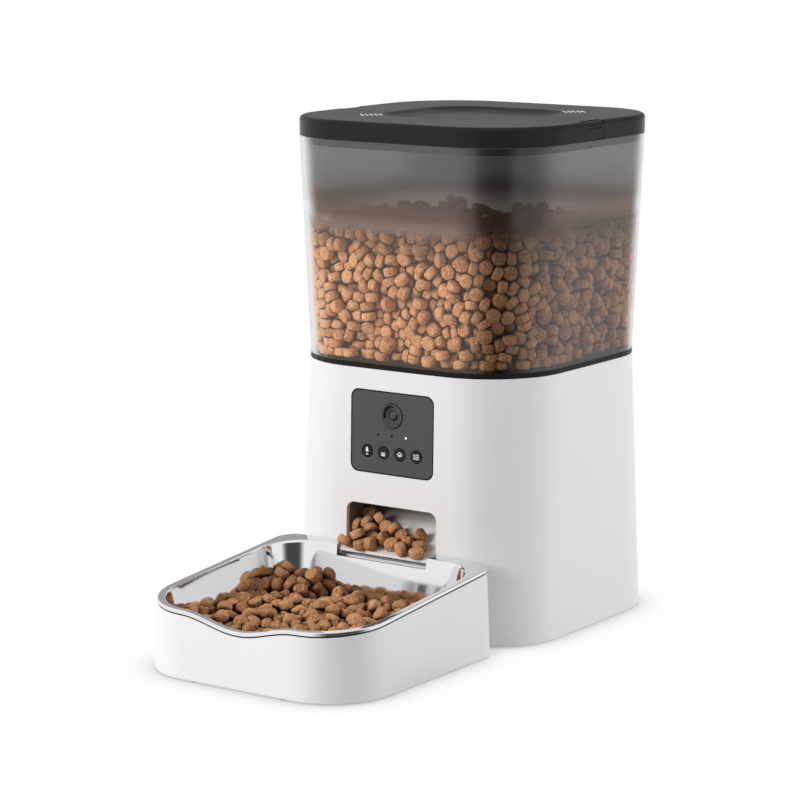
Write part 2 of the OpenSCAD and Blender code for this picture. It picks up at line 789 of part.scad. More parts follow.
// Slanted tube from the cup's mouth to the outlet, ending in a lip over the bowl
module chute() color(white) place() difference() {
    union() {
        section_x([[hopper_y + chute_wall, cup_z],
            [hopper_y + chute_wall, chute_high_z + chute_wall * chute_slope - chute_floor],
            [chute_end_y, chute_low_z - chute_floor], [chute_end_y, outlet_top + chute_wall],
            [chute_top_y, cup_z]], 2 * chute_half);
        section_x([[chute_end_y + root, chute_low_z], [chute_end_y + root, chute_low_z - chute_wall],
            [lip_y, lip_z - chute_wall], [lip_y, lip_z]], outlet_w - 2 * lip_side_gap);
    }
    section_x([[hopper_y, cup_z + root], [hopper_y, chute_high_z], [chute_end_y + root, chute_low_z],
        [chute_end_y - root, chute_low_z], [chute_end_y - root, outlet_top], [chute_end_y, outlet_top],
        [chute_top_y + 2 * chute_wall, cup_z - root], [chute_top_y + 2 * chute_wall, cup_z + root]],
        outlet_w);
}

// Flanged bushes in the cup's floor and in the bracket
module bush(z0, z1, f0, f1) {
    difference() {
        union() {
            drum(bush_r, z0, z1);
            drum(bush_r + bush_flange, f0, f1);
        }
        drum(shaft_r + run_gap, min(z0, f0) - root, max(z1, f1) + root);
    }
}
module shaft_bushes() color(brass) place() {
    bush(cup_z - bush_cap, cup_z + cup_floor, cup_z - bush_cap, cup_z);
    bush(bracket_z, bracket_z + bracket_t + bush_flange, bracket_z + bracket_t,
        bracket_z + bracket_t + bush_flange);
}

module motor_bracket() color("#b9bcc0") place() difference() {
    union() {
        box(-post_x - bracket_edge, post_x + bracket_edge, -post_y - bracket_edge,
            axle_d + motor_r + bracket_edge / 2, bracket_z, bracket_z + bracket_t);
        corners(post_x, post_y) drum(post_r, bracket_z, cup_z - boss_h);
    }
    for (y = [0, axle_d]) translate([0, y, 0])
        drum(bush_r + run_gap, bracket_z - root, bracket_z + bracket_t + root);
    corners(post_x, post_y) drum(screw_r + screw_room, bracket_z - root, cup_z);
}

module bracket_screws() color(steel) place() corners(post_x, post_y)
    screw(bracket_z, cup_z - boss_h - bracket_z + screw_bite);

// Gear motor below the bracket with its boss in the bracket's bore and two solder tabs
module motor() color(steel) place() translate([0, axle_d, bracket_z]) difference() {
    union() {
        drum(motor_r, -motor_l, 0);
        drum(bush_r, -root, bracket_t);
        drum(motor_nose_r, -motor_l - motor_nose_l, root - motor_l);
        for (s = [-1, 1]) block(s * tab_x, 0, -motor_l - motor_nose_l, tab_t, tab_w, motor_nose_l + root);
    }
    drum(pinion_shaft_r + run_gap, -pinion_shaft_in - root, bracket_t + root);
}

// The pinion is turned by half a tooth, so that its teeth stand in the gear's gaps
module motor_pinion() color(brass) place() translate([0, axle_d, 0]) {
    translate([0, 0, gear_z - pinion_over]) rotate(-90 + 180 / pinion_n)
        linear_extrude(gear_w + 2 * pinion_over) polygon(gear_outline(pinion_n, pinion_add, pinion_ded));
    drum(pinion_shaft_r, bracket_z - pinion_shaft_in, gear_z + gear_w + pinion_over);
}

module drive_gear() color("#e8e4d8") place() difference() {
    union() {
        translate([0, 0, gear_z]) rotate(90 + 180 / gear_n * (gear_n % 2)) linear_extrude(gear_w)
            polygon(gear_outline(gear_n, gear_add, gear_ded));
        drum(gear_hub_r, gear_z - gear_hub_h, gear_z + gear_w + gear_hub_h);
    }
    drum(shaft_r + press_gap, gear_z - past, gear_z + gear_w + past);
    for (i = [1 : web_n]) rotate(360 * i / web_n) translate([web_r, 0, 0])
        drum(web_hole_r, gear_z - root, gear_z + gear_w + root);
}

module rotor_shaft() color(steel) place() drum(shaft_r, bracket_z, cup_z + cup_floor + shaft_in);

// Vaned wheel with a pointed hub that turns the food to the opening
module rotor() color("#dfe1e2") place() difference() {
    union() {
        rotate_extrude() polygon([[0, cup_z + cup_floor + hub_gap], [hub_r, cup_z + cup_floor + hub_gap],
            [hub_r, throat_z - past], [hub_tip_r, throat_z + hub_tip], [0, throat_z + hub_tip]]);
        for (i = [0 : vane_n - 1]) rotate(360 * i / vane_n)
            box(hub_r - vane_root, cup_r - vane_gap, -vane_t / 2, vane_t / 2, cup_z + cup_floor + 2 * hub_gap,
                throat_z - vane_drop);
    }
    drum(shaft_r + press_gap, cup_z, cup_z + cup_floor + shaft_in + hub_gap);
}

// Two fingers above the rotor that keep the food from bridging
module agitator() color(white) place() translate([0, 0, throat_z + hub_tip]) {
    cylinder(r1 = hub_tip_r, r2 = finger_hub_r, h = finger_hub_h);
    for (s = [-1, 1]) translate([0, 0, finger_hub_h / 2]) rotate([0, s * finger_lean, 0])
        cylinder(r = finger_r, h = finger_l);
}

// Camera, panel and boards

// Insert that follows the housing's front, with bores for the camera, the buttons and three small holes
module front_panel() color(grey) place() difference() {
    intersection() {
        slab_y(panel_w, panel_h, panel_r, ahead_y, pocket_y, panel_z);
        skin([base_ring(panel_z - panel_h, panel_sink), base_ring(panel_z + panel_h, panel_sink)]);
    }
    rod_y(lens_r + bore_gap, ahead_y, pocket_y + past, 0, lens_z);
    for (x = buttons_x) rod_y(button_r + bore_gap, ahead_y, pocket_y + past, x, button_z);
    for (i = [-1 : 1]) rod_y(dot_r, ahead_y, pocket_y + past, i * dot_pitch, dot_z);
}

module panel_board() color(green) place()
    slab_y(panel_w + 2 * board_edge, panel_h, window_r, board_y, board_y + board_t, panel_z);

module button_switches() color(black) place() for (x = buttons_x) {
    block(x, board_y - switch_h / 2, button_z - switch_w / 2, switch_w, switch_h, switch_w);
    rod_y(plunger_r, board_y - switch_h - plunger_h, board_y - switch_h, x, button_z);
}

// Dished cap in its bore, with a flange that the panel holds back and a stem to the switch
module button(i) {
    cap_y = skin_y(buttons_x[i], button_z) - cap_proud;
    flange_y = pocket_y + fit_gap - cap_y;
    stem_y = board_y - switch_h - plunger_h - button_travel - stem_gap - cap_y;
    lathe_y(buttons_x[i], cap_y, button_z) polygon([[0, cap_dish], [button_r - cap_dish_in, cap_dish],
        [button_r - cap_edge, 0], [button_r, cap_edge], [button_r, flange_y],
        [button_r + flange_out, flange_y], [button_r + flange_out, flange_y + flange_t],
        [stem_r, flange_y + flange_t], [stem_r, stem_y], [0, stem_y]]);
}
module button_talk() color(black) place() button(0);
module button_lock() color(black) place() button(1);
module button_feed() color(black) place() button(2);
module button_set() color(black) place() button(3);

module camera_module() color("#2b2d30") place()
    block(0, board_y - camera_t / 2, lens_z - camera_w / 2, camera_w, camera_t, camera_w);

// Ring of the camera with a stepped throat round the glass
module lens_barrel() color("#141414") place() lathe_y(0, lens_y, lens_z) polygon([[0, lens_bore],
    [lens_bore_r, lens_bore], [lens_bore_r, lens_well], [lens_well_r, lens_well],
    [lens_well_r + lens_chamfer, lens_chamfer], [lens_r - lens_chamfer, 0], [lens_r, lens_chamfer],
    [lens_r, board_y - camera_t - lens_y], [0, board_y - camera_t - lens_y]]);

// Front glass with a domed face
module lens_glass() color("#20242a") place() lathe_y(0, lens_y, lens_z) polygon(concat(
    [for (a = [0 : dome_a / 4 : dome_a]) [(lens_bore_r - glass_gap) * sin(a) / sin(dome_a),
        lens_bore - glass_edge - glass_rise * (cos(a) - cos(dome_a)) / (1 - cos(dome_a))]],
    [[lens_bore_r - glass_gap, lens_bore], [0, lens_bore]]));

module status_led() color("#f4f6ff") place() {
    rod_y(dot_r - glass_gap, skin_y(dot_pitch, dot_z) + glass_gap, board_y - led_t / 2, dot_pitch, dot_z);
    rod_y(led_r, board_y - led_t, board_y, dot_pitch, dot_z);
}

module chute_sensors() color(black) place() both_sides()
    block(chute_half + sensor_w / 2, (chute_top_y + chute_end_y) / 2, outlet_top - sensor_drop - sensor_h / 2,
        sensor_w, sensor_h, sensor_h);

module speaker() color(black) place() translate([0, speaker_y - speaker_gap, speaker_z]) rotate([90, 0, 0])
    rotate_extrude() polygon([[0, speaker_cone], [speaker_r - 2 * magnet_in, speaker_cone],
        [speaker_r - speaker_edge, 0], [speaker_r, 0], [speaker_r, speaker_edge],
        [speaker_r - magnet_in, magnet_in], [speaker_r - magnet_in, magnet_l], [0, magnet_l]]);

// Board on its posts with a shielded radio, a chip, a coil, capacitors and a row of plug headers
module main_board() color(green) place() {
    top = main_z + board_t;
    low_y = main_y0 + part_in;
    box(-main_x, main_x, main_y0, main_y1, main_z, top);
    block(radio_w / 2 + part_in - main_x, low_y + radio_l / 2, top, radio_w, radio_l, radio_h);
    block(-chip_x, low_y + chip_w, top, chip_w, chip_w, chip_h);
    block(radio_w, main_y1 - 2 * part_in, top, coil_w, coil_w, coil_h);
    for (i = [0 : can_n - 1])
        translate([radio_w + can_pitch * i, low_y + can_r, top]) cylinder(r = can_r, h = can_h);
    for (i = [0 : header_n - 1])
        block(part_in - main_x + header_w / 2 + header_pitch * i, main_y1 - part_in + header_l / 2, top,
            header_w, header_l, header_l);
}

// Round inlet for a barrel plug, through the rear wall
module power_jack() color(black) place() difference() {
    union() {
        rod_y(jack_r, jack_y - jack_l, jack_y - jack_sink, 0, jack_z);
        block(0, jack_y - base_wall - fit_gap - jack_box_l / 2, jack_z - jack_box_w / 2, jack_box_w,
            jack_box_l, jack_box_w);
    }
    difference() {
        rod_y(jack_hole_r, jack_y - jack_l - root, jack_y + past, 0, jack_z);
        rod_y(jack_pin_r, jack_y - jack_l - past, jack_y - 3 * root, 0, jack_z);
    }
}

// Tank and lid

// Clear walls with a tongue that stands in the deck's rim, and a catch under each latch
module tank() color(clear) place() {
    skin([base_ring(seam_z), tank_ring(tank_top), tank_ring(tank_top, tank_wall),
        tank_ring(seam_z, tank_wall), base_ring(seam_z - tongue_h, tank_wall),
        base_ring(seam_z - tongue_h, rim_lip + fit_gap), base_ring(seam_z, rim_lip + fit_gap)], loop = true);
    both_sides() box(tank_half(catch_z) - root, tank_half(catch_z) + side_bow + catch_proud,
        latch_y - catch_w / 2, latch_y + catch_w / 2, catch_z, catch_z + catch_h);
}

function dish_ring(inset, z) = body_ring(dish_half - inset, dish_r - inset * dish_turn, z);

// Lid with a plug that enters the tank, a dished top, two groups of slots and a notch for each latch
module lid_shell() color(black) place() difference() {
    plug_in = tank_wall + plug_gap;
    ceiling = lid_top - dish_depth - lid_t;
    tube_r = cap_r + fit_gap;
    edge = [for (i = [0 : fillet_n]) let (a = 90 * i / fillet_n)
        lid_ring(lid_top - fillet * (1 - sin(a)), fillet * (1 - cos(a)))];
    union() {
        skin(concat([dish_ring(dish_slope, ceiling), lid_ring(ceiling, plug_in + plug_wall),
            tank_ring(tank_top - plug_h, plug_in + plug_wall), tank_ring(tank_top - plug_h, plug_in),
            lid_ring(tank_top, plug_in), lid_ring(tank_top, 0)], edge, [dish_ring(0, lid_top),
            dish_ring(dish_knee, lid_top - dish_depth * dish_fall),
            dish_ring(dish_slope, lid_top - dish_depth)]));
        rotate_extrude() polygon([[tube_r, ceiling + root], [tube_r, tank_top - cap_tube_low],
            [tube_r + cap_tube_t, tank_top - cap_tube_low], [tube_r + cap_tube_t, ceiling + root]]);
    }
    both_sides() {
        box(latch_face - notch_depth, latch_face + past, latch_y - latch_w / 2 - fit_gap,
            latch_y + latch_w / 2 + fit_gap, tank_top - press_gap, lid_top + past);
        rod_y(latch_pin_r + press_gap, latch_y - latch_w / 2 - latch_pin_out - fit_gap,
            latch_y + latch_w / 2 + latch_pin_out + fit_gap, latch_axis_x, latch_axis_z);
    }
    for (a = [45, 225], i = [0 : slot_n - 1]) rotate(a)
        translate([slot_far + (i - (slot_n - 1) / 2) * slot_pitch, 0, lid_top - slot_deep]) slot();
}

// Slot with round ends, from its floor up
module slot() {
    block(0, 0, 0, slot_w, slot_len - slot_w, past);
    for (s = [-1, 1]) translate([0, s * (slot_len - slot_w) / 2, 0]) cylinder(r = slot_w / 2, h = past);
}

module lid_seal() color("#3a3a3a") place() skin([tank_ring(seal_z, tank_wall + seal_gap),
    tank_ring(seal_z + seal_h, tank_wall + seal_gap), tank_ring(seal_z + seal_h, tank_wall + plug_gap),
    tank_ring(seal_z, tank_wall + plug_gap)], loop = true);

// Slotted cap with a finger bar that holds the desiccant in the lid
module desiccant_cap() color(black) place() difference() {
    union() {
        drum(cap_r, cap_z, cap_z + cap_t);
        block(0, 0, cap_z - cap_grip_h, cap_grip_l, cap_grip_w, cap_grip_h + root);
    }
    for (i = [1 : cap_slit_n], s = [-1, 1])
        block(0, s * cap_slit_pitch * i, cap_z - root, cap_r, cap_slit_w, cap_t + 2 * root);
}

module desiccant_pack() color(white) place() translate([0, 0, cap_z + cap_t]) rotate_extrude()
    polygon([[0, 0], [cap_r - 2 * pack_edge, 0], [cap_r - pack_edge, pack_edge],
        [cap_r - pack_edge, pack_h - pack_edge], [cap_r - 2 * pack_edge, pack_h], [0, pack_h]]);

// Rocking latch with the lid's fillet and two grip grooves, on a pin in the lid
module latch() difference() {
    front = latch_face - latch_sink;
    top = lid_top - fit_gap;
    curve = [for (i = [0 : fillet_n]) let (a = 90 * i / fillet_n)
        [front - fillet * (1 - cos(a)), top - fillet * (1 - sin(a))]];
    translate([0, latch_y + latch_w / 2, 0]) rotate([90, 0, 0]) linear_extrude(latch_w)
        polygon(concat([[latch_face - latch_t, top], [latch_face - latch_t, tank_top + fit_gap],
            [front - latch_edge, tank_top + fit_gap], [front, tank_top + fit_gap + latch_edge]], curve));
    rod_y(latch_pin_r + run_gap, latch_y - latch_w, latch_y + latch_w, latch_axis_x, latch_axis_z);
    for (i = [0, 1]) block(latch_face, latch_y, lid_top - groove_low - groove_w - groove_pitch * i,
        2 * groove_w, latch_w - 2 * groove_in, groove_w);
}
module latch_right() color(black) place() latch();
module latch_left() color(black) place() mirror([1, 0, 0]) latch();

module latch_pins() color(steel) place() both_sides()
    rod_y(latch_pin_r, latch_y - latch_w / 2 - latch_pin_out, latch_y + latch_w / 2 + latch_pin_out,
        latch_axis_x, latch_axis_z);

// Tray and bowl

// Open gap in the rear rim, through which the chute's lip reaches
module rear_notch(w) translate([0, 0, notch_z]) linear_extrude(rim_back_z)
    polygon([[-w / 2, tray_back_y + past], [w / 2, tray_back_y + past], [w / 2, tray_back_y - notch_side],
        [w / 2 - notch_taper, tray_back_y - notch_l], [notch_taper - w / 2, tray_back_y - notch_l],
        [-w / 2, tray_back_y - notch_side]]);

// Hollow ring with a stepped rim that carries the bowl's flange, and two tongues that hold it to the base
module tray() color(white) place() difference() {
    step = tray_plan(tray_draft + rim_step, rim_step);
    ledge = tray_plan(tray_draft + ledge_w, ledge_back_w);
    union() {
        skin([flat_ring(tray_plan(0, 0), foot_gap), rim_ring(tray_plan(tray_draft, 0), rim_low),
            rim_ring(step, rim_low), rim_ring(step, ledge_low), rim_ring(ledge, ledge_low),
            rim_ring(ledge, ledge_low + ledge_t),
            rim_ring(tray_plan(tray_draft + tray_wall, tray_wall), ledge_low + ledge_t),
            flat_ring(tray_plan(tray_wall, tray_wall), foot_gap + hem_t),
            flat_ring(tray_plan(hem_w, hem_w), foot_gap + hem_t),
            flat_ring(tray_plan(hem_w, hem_w), foot_gap)], loop = true);
        both_sides() box(tongue_x - tongue_w / 2, tongue_x + tongue_w / 2, tray_back_y - tray_wall / 2,
            tray_back_y + tongue_l, tongue_z, tongue_z + tongue_t);
    }
    rear_notch(notch_w);
}

module tray_pads() color(black) place() both_sides() for (p = [[tray_w / 2 - hem_w / 2, tray_back_y - pad_in],
    [tray_w / 2 - hem_w / 2, tray_front_y + tray_r + 2 * pad_r], [pad_x, tray_front_y + hem_w / 2]])
    translate(p) cylinder(r = pad_r, h = foot_gap);

// Rings of one side of the bowl's sheet from the rounded floor to the wall
function bowl_side(out) = [for (i = [0 : bend_n]) let (a = 90 * i / bend_n)
    flat_ring(bowl_plan(bowl_draft + bowl_round * (1 - sin(a)) - out),
        bowl_floor_z + bowl_round * (1 - cos(a)) - out * (1 - i / (bend_n + 1)))];

// Deep-drawn sheet with a rolled edge to a flange that lies on the tray's ledge, and a skirt round it
module bowl() color(steel) place() difference() {
    skirt = tray_plan(tray_draft, 0);
    skirt_top = tray_plan(tray_draft + skirt_edge, skirt_edge);
    skirt_inside = tray_plan(tray_draft + steel_t, steel_t);
    inner = bowl_side(0);
    roll = [for (a = [90, 45, 0]) rim_ring(bowl_plan(-bowl_roll * (1 - cos(a))), bowl_roll * (1 - sin(a)))];
    skin(concat(bowl_side(steel_t), [rim_ring(bowl_plan(-steel_t), bowl_roll),
        rim_ring(bowl_plan(-bowl_roll), steel_t), rim_ring(skirt_inside, steel_t),
        rim_ring(skirt_inside, skirt_h), rim_ring(skirt, skirt_h), rim_ring(skirt, skirt_edge),
        rim_ring(skirt_top, 0)], roll, [for (i = [bend_n : -1 : 0]) inner[i]]));
    rear_notch(notch_w);
}

base_shell();
base_plate();
rubber_feet();
plate_screws();
battery_door();
battery_cells();
battery_contacts();
hopper_deck();
tank_gasket();
rotor_cup();
cup_screws();
chute();
shaft_bushes();
motor_bracket();
bracket_screws();
motor();
motor_pinion();
drive_gear();
rotor_shaft();
rotor();
agitator();
front_panel();
panel_board();
camera_module();
lens_barrel();
lens_glass();
button_talk();
button_lock();
button_feed();
button_set();
button_switches();
status_led();
chute_sensors();
speaker();
main_board();
power_jack();
tank();
lid_shell();
lid_seal();
desiccant_cap();
desiccant_pack();
latch_right();
latch_left();
latch_pins();
tray();
tray_pads();
bowl();
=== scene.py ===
import json
from math import atan2, copysign, cos, hypot, pi, radians, sin, sqrt

import bmesh
import bpy
import numpy as np
from mathutils import Euler, Matrix, Vector

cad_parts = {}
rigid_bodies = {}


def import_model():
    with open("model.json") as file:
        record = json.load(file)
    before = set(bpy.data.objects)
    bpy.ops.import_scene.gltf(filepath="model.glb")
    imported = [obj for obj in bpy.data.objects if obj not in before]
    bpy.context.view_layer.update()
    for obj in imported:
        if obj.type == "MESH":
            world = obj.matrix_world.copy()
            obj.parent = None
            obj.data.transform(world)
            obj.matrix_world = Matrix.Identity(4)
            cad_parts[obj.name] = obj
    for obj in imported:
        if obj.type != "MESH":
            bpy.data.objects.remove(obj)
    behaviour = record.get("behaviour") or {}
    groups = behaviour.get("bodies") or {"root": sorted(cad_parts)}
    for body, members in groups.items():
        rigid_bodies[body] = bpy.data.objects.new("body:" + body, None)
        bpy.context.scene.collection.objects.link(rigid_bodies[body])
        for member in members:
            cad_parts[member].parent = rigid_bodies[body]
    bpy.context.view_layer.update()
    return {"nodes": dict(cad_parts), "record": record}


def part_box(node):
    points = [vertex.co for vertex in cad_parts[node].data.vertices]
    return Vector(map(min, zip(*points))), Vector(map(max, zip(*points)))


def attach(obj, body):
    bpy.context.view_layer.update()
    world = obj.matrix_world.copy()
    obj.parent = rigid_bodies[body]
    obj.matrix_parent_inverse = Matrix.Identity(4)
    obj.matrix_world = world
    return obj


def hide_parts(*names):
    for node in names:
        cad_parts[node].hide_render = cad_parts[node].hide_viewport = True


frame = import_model()
nodes = frame["nodes"]
scene = bpy.context.scene
slot_of = {part["node"]: part["material_slot"] for part in frame["record"]["subparts"]}
full_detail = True

# Sizes in millimetres about the body's axis, worked out from the frame
MM = 0.001


def box_mm(node):
    low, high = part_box(node)
    return low / MM, high / MM


def middle(node):
    return [(a + b) / 2 for a, b in zip(*box_mm(node))]


base_lo, base_hi = box_mm("base_shell")
tray_lo, tray_hi = box_mm("tray")
panel_lo, panel_hi = box_mm("front_panel")
latch_lo, latch_hi = box_mm("latch_right")
bowl_lo, chute_lo, lens_lo = (box_mm(name)[0] for name in ("bowl", "chute", "lens_barrel"))
deck_hi, tank_hi = box_mm("hopper_deck")[1], box_mm("tank")[1]
lid_hi, cap_hi = box_mm("lid_shell")[1], box_mm("desiccant_cap")[1]

SIDE_BOW = 1.5
FOOT_R, WAIST_R, TOP_R = 42.7, 48, 48.6
BASE_WALL, TANK_WALL, LID_T = 3, 2.6, 2.2
FIT_GAP, CLEAR, CUT_DEEP = 0.3, 5, 20
ARC_N, SIDE_N, RIM_N = 14, 10, 28
LEAST_R = 2

axis_y = middle("base_shell")[1]
foot_gap, base_top = base_lo.z, base_hi.z
seam_z, tank_top, lid_top = deck_hi.z, tank_hi.z, lid_hi.z
foot_half = base_hi.x - SIDE_BOW
neck_half = deck_hi.x - SIDE_BOW
top_half = lid_hi.x - SIDE_BOW

TONGUE_X, TONGUE_W, TONGUE_T, TONGUE_L, TONGUE_Z = 44, 12, 4, 8, 10
TRAY_R, TRAY_BACK_R, TRAY_DRAFT, TRAY_WALL = 39.2, 13, 2.2, 2
HEM_W, HEM_T, HEM_EDGE = 12, 2, 0.5
RIM_FRONT_Z, RIM_BACK_Z, DIP_DEPTH, DIP_HALF, RIM_T = 41.2, 55, 6.8, 42, 1.3
FLANGE_W, FLANGE_BACK_W, STEEL_T = 4.6, 8, 0.9
SKIRT_H, SKIRT_GAP, SKIRT_ROOM, SKIRT_EDGE = 2.2, 0.9, 0.5, 0.5
BOWL_DRAFT, BOWL_R, BOWL_BACK_R, BOWL_ROUND, BOWL_ROLL = 5, 33, 26, 12, 1.5
NOTCH_W, NOTCH_L, NOTCH_SIDE, NOTCH_TAPER, NOTCH_Z = 71, 16, 2, 5, 47.5
tray_half = tray_hi.x
tray_front_y = tray_lo.y - axis_y
tray_back_y = tray_hi.y - axis_y - TONGUE_L
bowl_floor_z = bowl_lo.z + STEEL_T

PANEL_R, OUTLET_W, OUTLET_TOP, OUTLET_R = 5.5, 66.6, 80, 5.5
panel_z = middle("front_panel")[2]
panel_w = panel_hi.x - panel_lo.x
panel_h = panel_hi.z - panel_lo.z
pocket_y = panel_hi.y - axis_y
lip_y, lip_z = chute_lo.y - axis_y, 52.5
ahead_y = base_lo.y - axis_y - CLEAR


# Shapes
def mix(a, b, t):
    return a + (b - a) * t


def base_half(z):
    return mix(foot_half, neck_half, (z - foot_gap) / (base_top - foot_gap))


def base_r(z):
    return mix(FOOT_R, WAIST_R, z / seam_z)


def tank_half(z):
    return mix(base_half(seam_z), top_half, (z - seam_z) / (tank_top - seam_z))


def tank_r(z):
    return mix(WAIST_R, TOP_R, (z - seam_z) / (tank_top - seam_z))


def quarter(steps):
    return [pi / 2 * i / steps for i in range(steps + 1)]


def full_turn(count):
    return [2 * pi * i / count for i in range(count)]


def bulge(x, y, h):
    """Bows the sides of a square outwards."""
    return x * (1 + SIDE_BOW / h * (1 - (y / h) ** 2)), y * (1 + SIDE_BOW / h * (1 - (x / h) ** 2))


def outline(hx, y0, y1, rb, rf, sides=SIDE_N, arc=ARC_N):
    """Rounded rectangle, anticlockwise from its right rear corner."""
    middles = ((hx - rb, y1 - rb, rb), (rb - hx, y1 - rb, rb),
               (rf - hx, y0 + rf, rf), (hx - rf, y0 + rf, rf))
    arcs = []
    for k, (cx, cy, r) in enumerate(middles):
        turns = [pi / 2 * (k + i / arc) for i in range(arc + 1)]
        arcs.append([(cx + r * cos(a), cy + r * sin(a)) for a in turns])
    points = []
    for k in range(4):
        (ax, ay), (bx, by) = arcs[k][-1], arcs[(k + 1) % 4][0]
        points += arcs[k]
        points += [(mix(ax, bx, j / sides), mix(ay, by, j / sides)) for j in range(1, sides)]
    return points


def body_ring(half, r, z, inset=0, **counts):
    h, q = half - inset, max(r - inset, 1)
    return [(*bulge(x, y, h), z) for x, y in outline(h, -h, h, q, q, **counts)]


def base_ring(z, inset=0, **counts):
    return body_ring(base_half(z), base_r(z), z, inset, **counts)


def tank_ring(z, inset=0, **counts):
    return body_ring(tank_half(z), tank_r(z), z, inset, **counts)


def lid_ring(z, inset=0):
    return body_ring(top_half, TOP_R, z, inset)


def round_edge(ring, z, r, steps=4, below=False):
    """Rings of a quarter round at an upper edge, or at a lower edge in rising order."""
    rings = []
    for a in quarter(steps):
        low, inset = r * (1 - sin(a)), r * (1 - cos(a))
        rings.append(ring(z + low if below else z - low, inset))
    return rings[::-1] if below else rings


def rim_z(x, y):
    z = mix(RIM_FRONT_Z, RIM_BACK_Z, (y - tray_front_y) / (tray_back_y - tray_front_y))
    if y < tray_front_y + TRAY_R and abs(x) < DIP_HALF:
        z -= DIP_DEPTH * (1 + cos(pi * x / DIP_HALF)) / 2
    return z


def tray_plan(inset, back):
    rear_r, front_r = max(TRAY_BACK_R - back, LEAST_R), max(TRAY_R - inset, LEAST_R)
    return outline(tray_half - inset, tray_front_y + inset, tray_back_y - back, rear_r, front_r, RIM_N)


def bowl_plan(inset, **counts):
    inside = TRAY_DRAFT + FLANGE_W + inset
    counts = counts or {"sides": RIM_N}
    return outline(tray_half - inside, tray_front_y + inside, tray_back_y - FLANGE_BACK_W - inset,
                   max(BOWL_BACK_R - inset, LEAST_R), max(BOWL_R - inset, LEAST_R), **counts)


def flat_ring(plan, z):
    return [(x, y, z) for x, y in plan]


def rim_ring(plan, drop):
    return [(x, y, rim_z(x, y) - drop) for x, y in plan]


# Meshes
def place_object(name, data):
    obj = bpy.data.objects.new(name, data)
    scene.collection.objects.link(obj)
    return obj


def mesh_object(name, points, faces):
    mesh = bpy.data.meshes.new(name)
    mesh.from_pydata([(x * MM, (y + axis_y) * MM, z * MM) for x, y, z in points], [], faces)
    work = bmesh.new()
    work.from_mesh(mesh)
    bmesh.ops.recalc_face_normals(work, faces=work.faces)
    work.to_mesh(mesh)
    work.free()
    return place_object(name, mesh)


def ring_faces(n, m, loop=False, start=0):
    """Faces between m rings of n points, closed at both ends or in a loop."""
    faces = []
    for i in range(m if loop else m - 1):
        low, high = start + i * n, start + (i + 1) % m * n
        faces += [(low + j, low + (j + 1) % n, high + (j + 1) % n, high + j) for j in range(n)]
    if not loop:
        last = start + (m - 1) * n
        faces += [tuple(range(start, start + n))[::-1], tuple(range(last, last + n))]
    return faces


def loft(name, rings, loop=False):
    points = [p for ring in rings for p in ring]
    return mesh_object(name, points, ring_faces(len(rings[0]), len(rings), loop))


def slab(name, w, h, r, y0, y1, z):
    """Rounded plate in the XZ plane."""
    plan = outline(w / 2, -h / 2, h / 2, r, r, 1, 8)
    return loft(name, [[(px, y, z + pz) for px, pz in plan] for y in (y0, y1)])


def turned(name, profile, x, z, count=64):
    """Solid turned about an axis along Y, from pairs of radius and depth."""
    turns = full_turn(count)
    return loft(name, [[(x + r * cos(a), y, z + r * sin(a)) for a in turns] for r, y in profile])


def spun(name, profile):
    """Closed ring turned about the body's axis, from pairs of radius and height."""
    return loft(name, [[(r * cos(a), r * sin(a), z) for a in full_turn(64)] for r, z in profile], loop=True)


def block(name, x0, x1, y0, y1, z0, z1):
    return loft(name, [[(x0, y0, z), (x1, y0, z), (x1, y1, z), (x0, y1, z)] for z in (z0, z1)])


def pair(name, x0, x1, *rest):
    """Two blocks, one on each side of the middle."""
    return [block(name, *sorted((s * x0, s * x1)), *rest) for s in (-1, 1)]


def join(name, parts):
    """One object from several."""
    work = bmesh.new()
    for part in parts:
        work.from_mesh(part.data)
        drop(part)
    mesh = bpy.data.meshes.new(name)
    work.to_mesh(mesh)
    work.free()
    return place_object(name, mesh)


def drop(obj):
    mesh = obj.data
    bpy.data.objects.remove(obj)
    if mesh.users == 0:
        bpy.data.meshes.remove(mesh)


def settle_modifiers(obj):
    """Puts the result of the modifiers into the mesh."""
    shape = obj.evaluated_get(bpy.context.evaluated_depsgraph_get())
    mesh, old = bpy.data.meshes.new_from_object(shape), obj.data
    obj.modifiers.clear()
    obj.data = mesh
    bpy.data.meshes.remove(old)


def combine(obj, others, operation="DIFFERENCE"):
    for other in others:
        modifier = obj.modifiers.new("combine", "BOOLEAN")
        modifier.operation = operation
        modifier.solver = "EXACT"
        modifier.object = other
    settle_modifiers(obj)
    for other in others:
        drop(other)
    return obj


def bevel(obj, width, angle=50):
    modifier = obj.modifiers.new("edge", "BEVEL")
    modifier.width = width * MM
    modifier.segments = 2
    modifier.limit_method = "ANGLE"
    modifier.angle_limit = radians(angle)
    return modifier


def smooth(obj, sharp=50):
    obj.data.shade_smooth()
    obj.data.set_sharp_from_angle(angle=radians(sharp))
    weighted = obj.modifiers.new("normals", "WEIGHTED_NORMAL")
    weighted.keep_sharp = True


# Materials
materials = {}


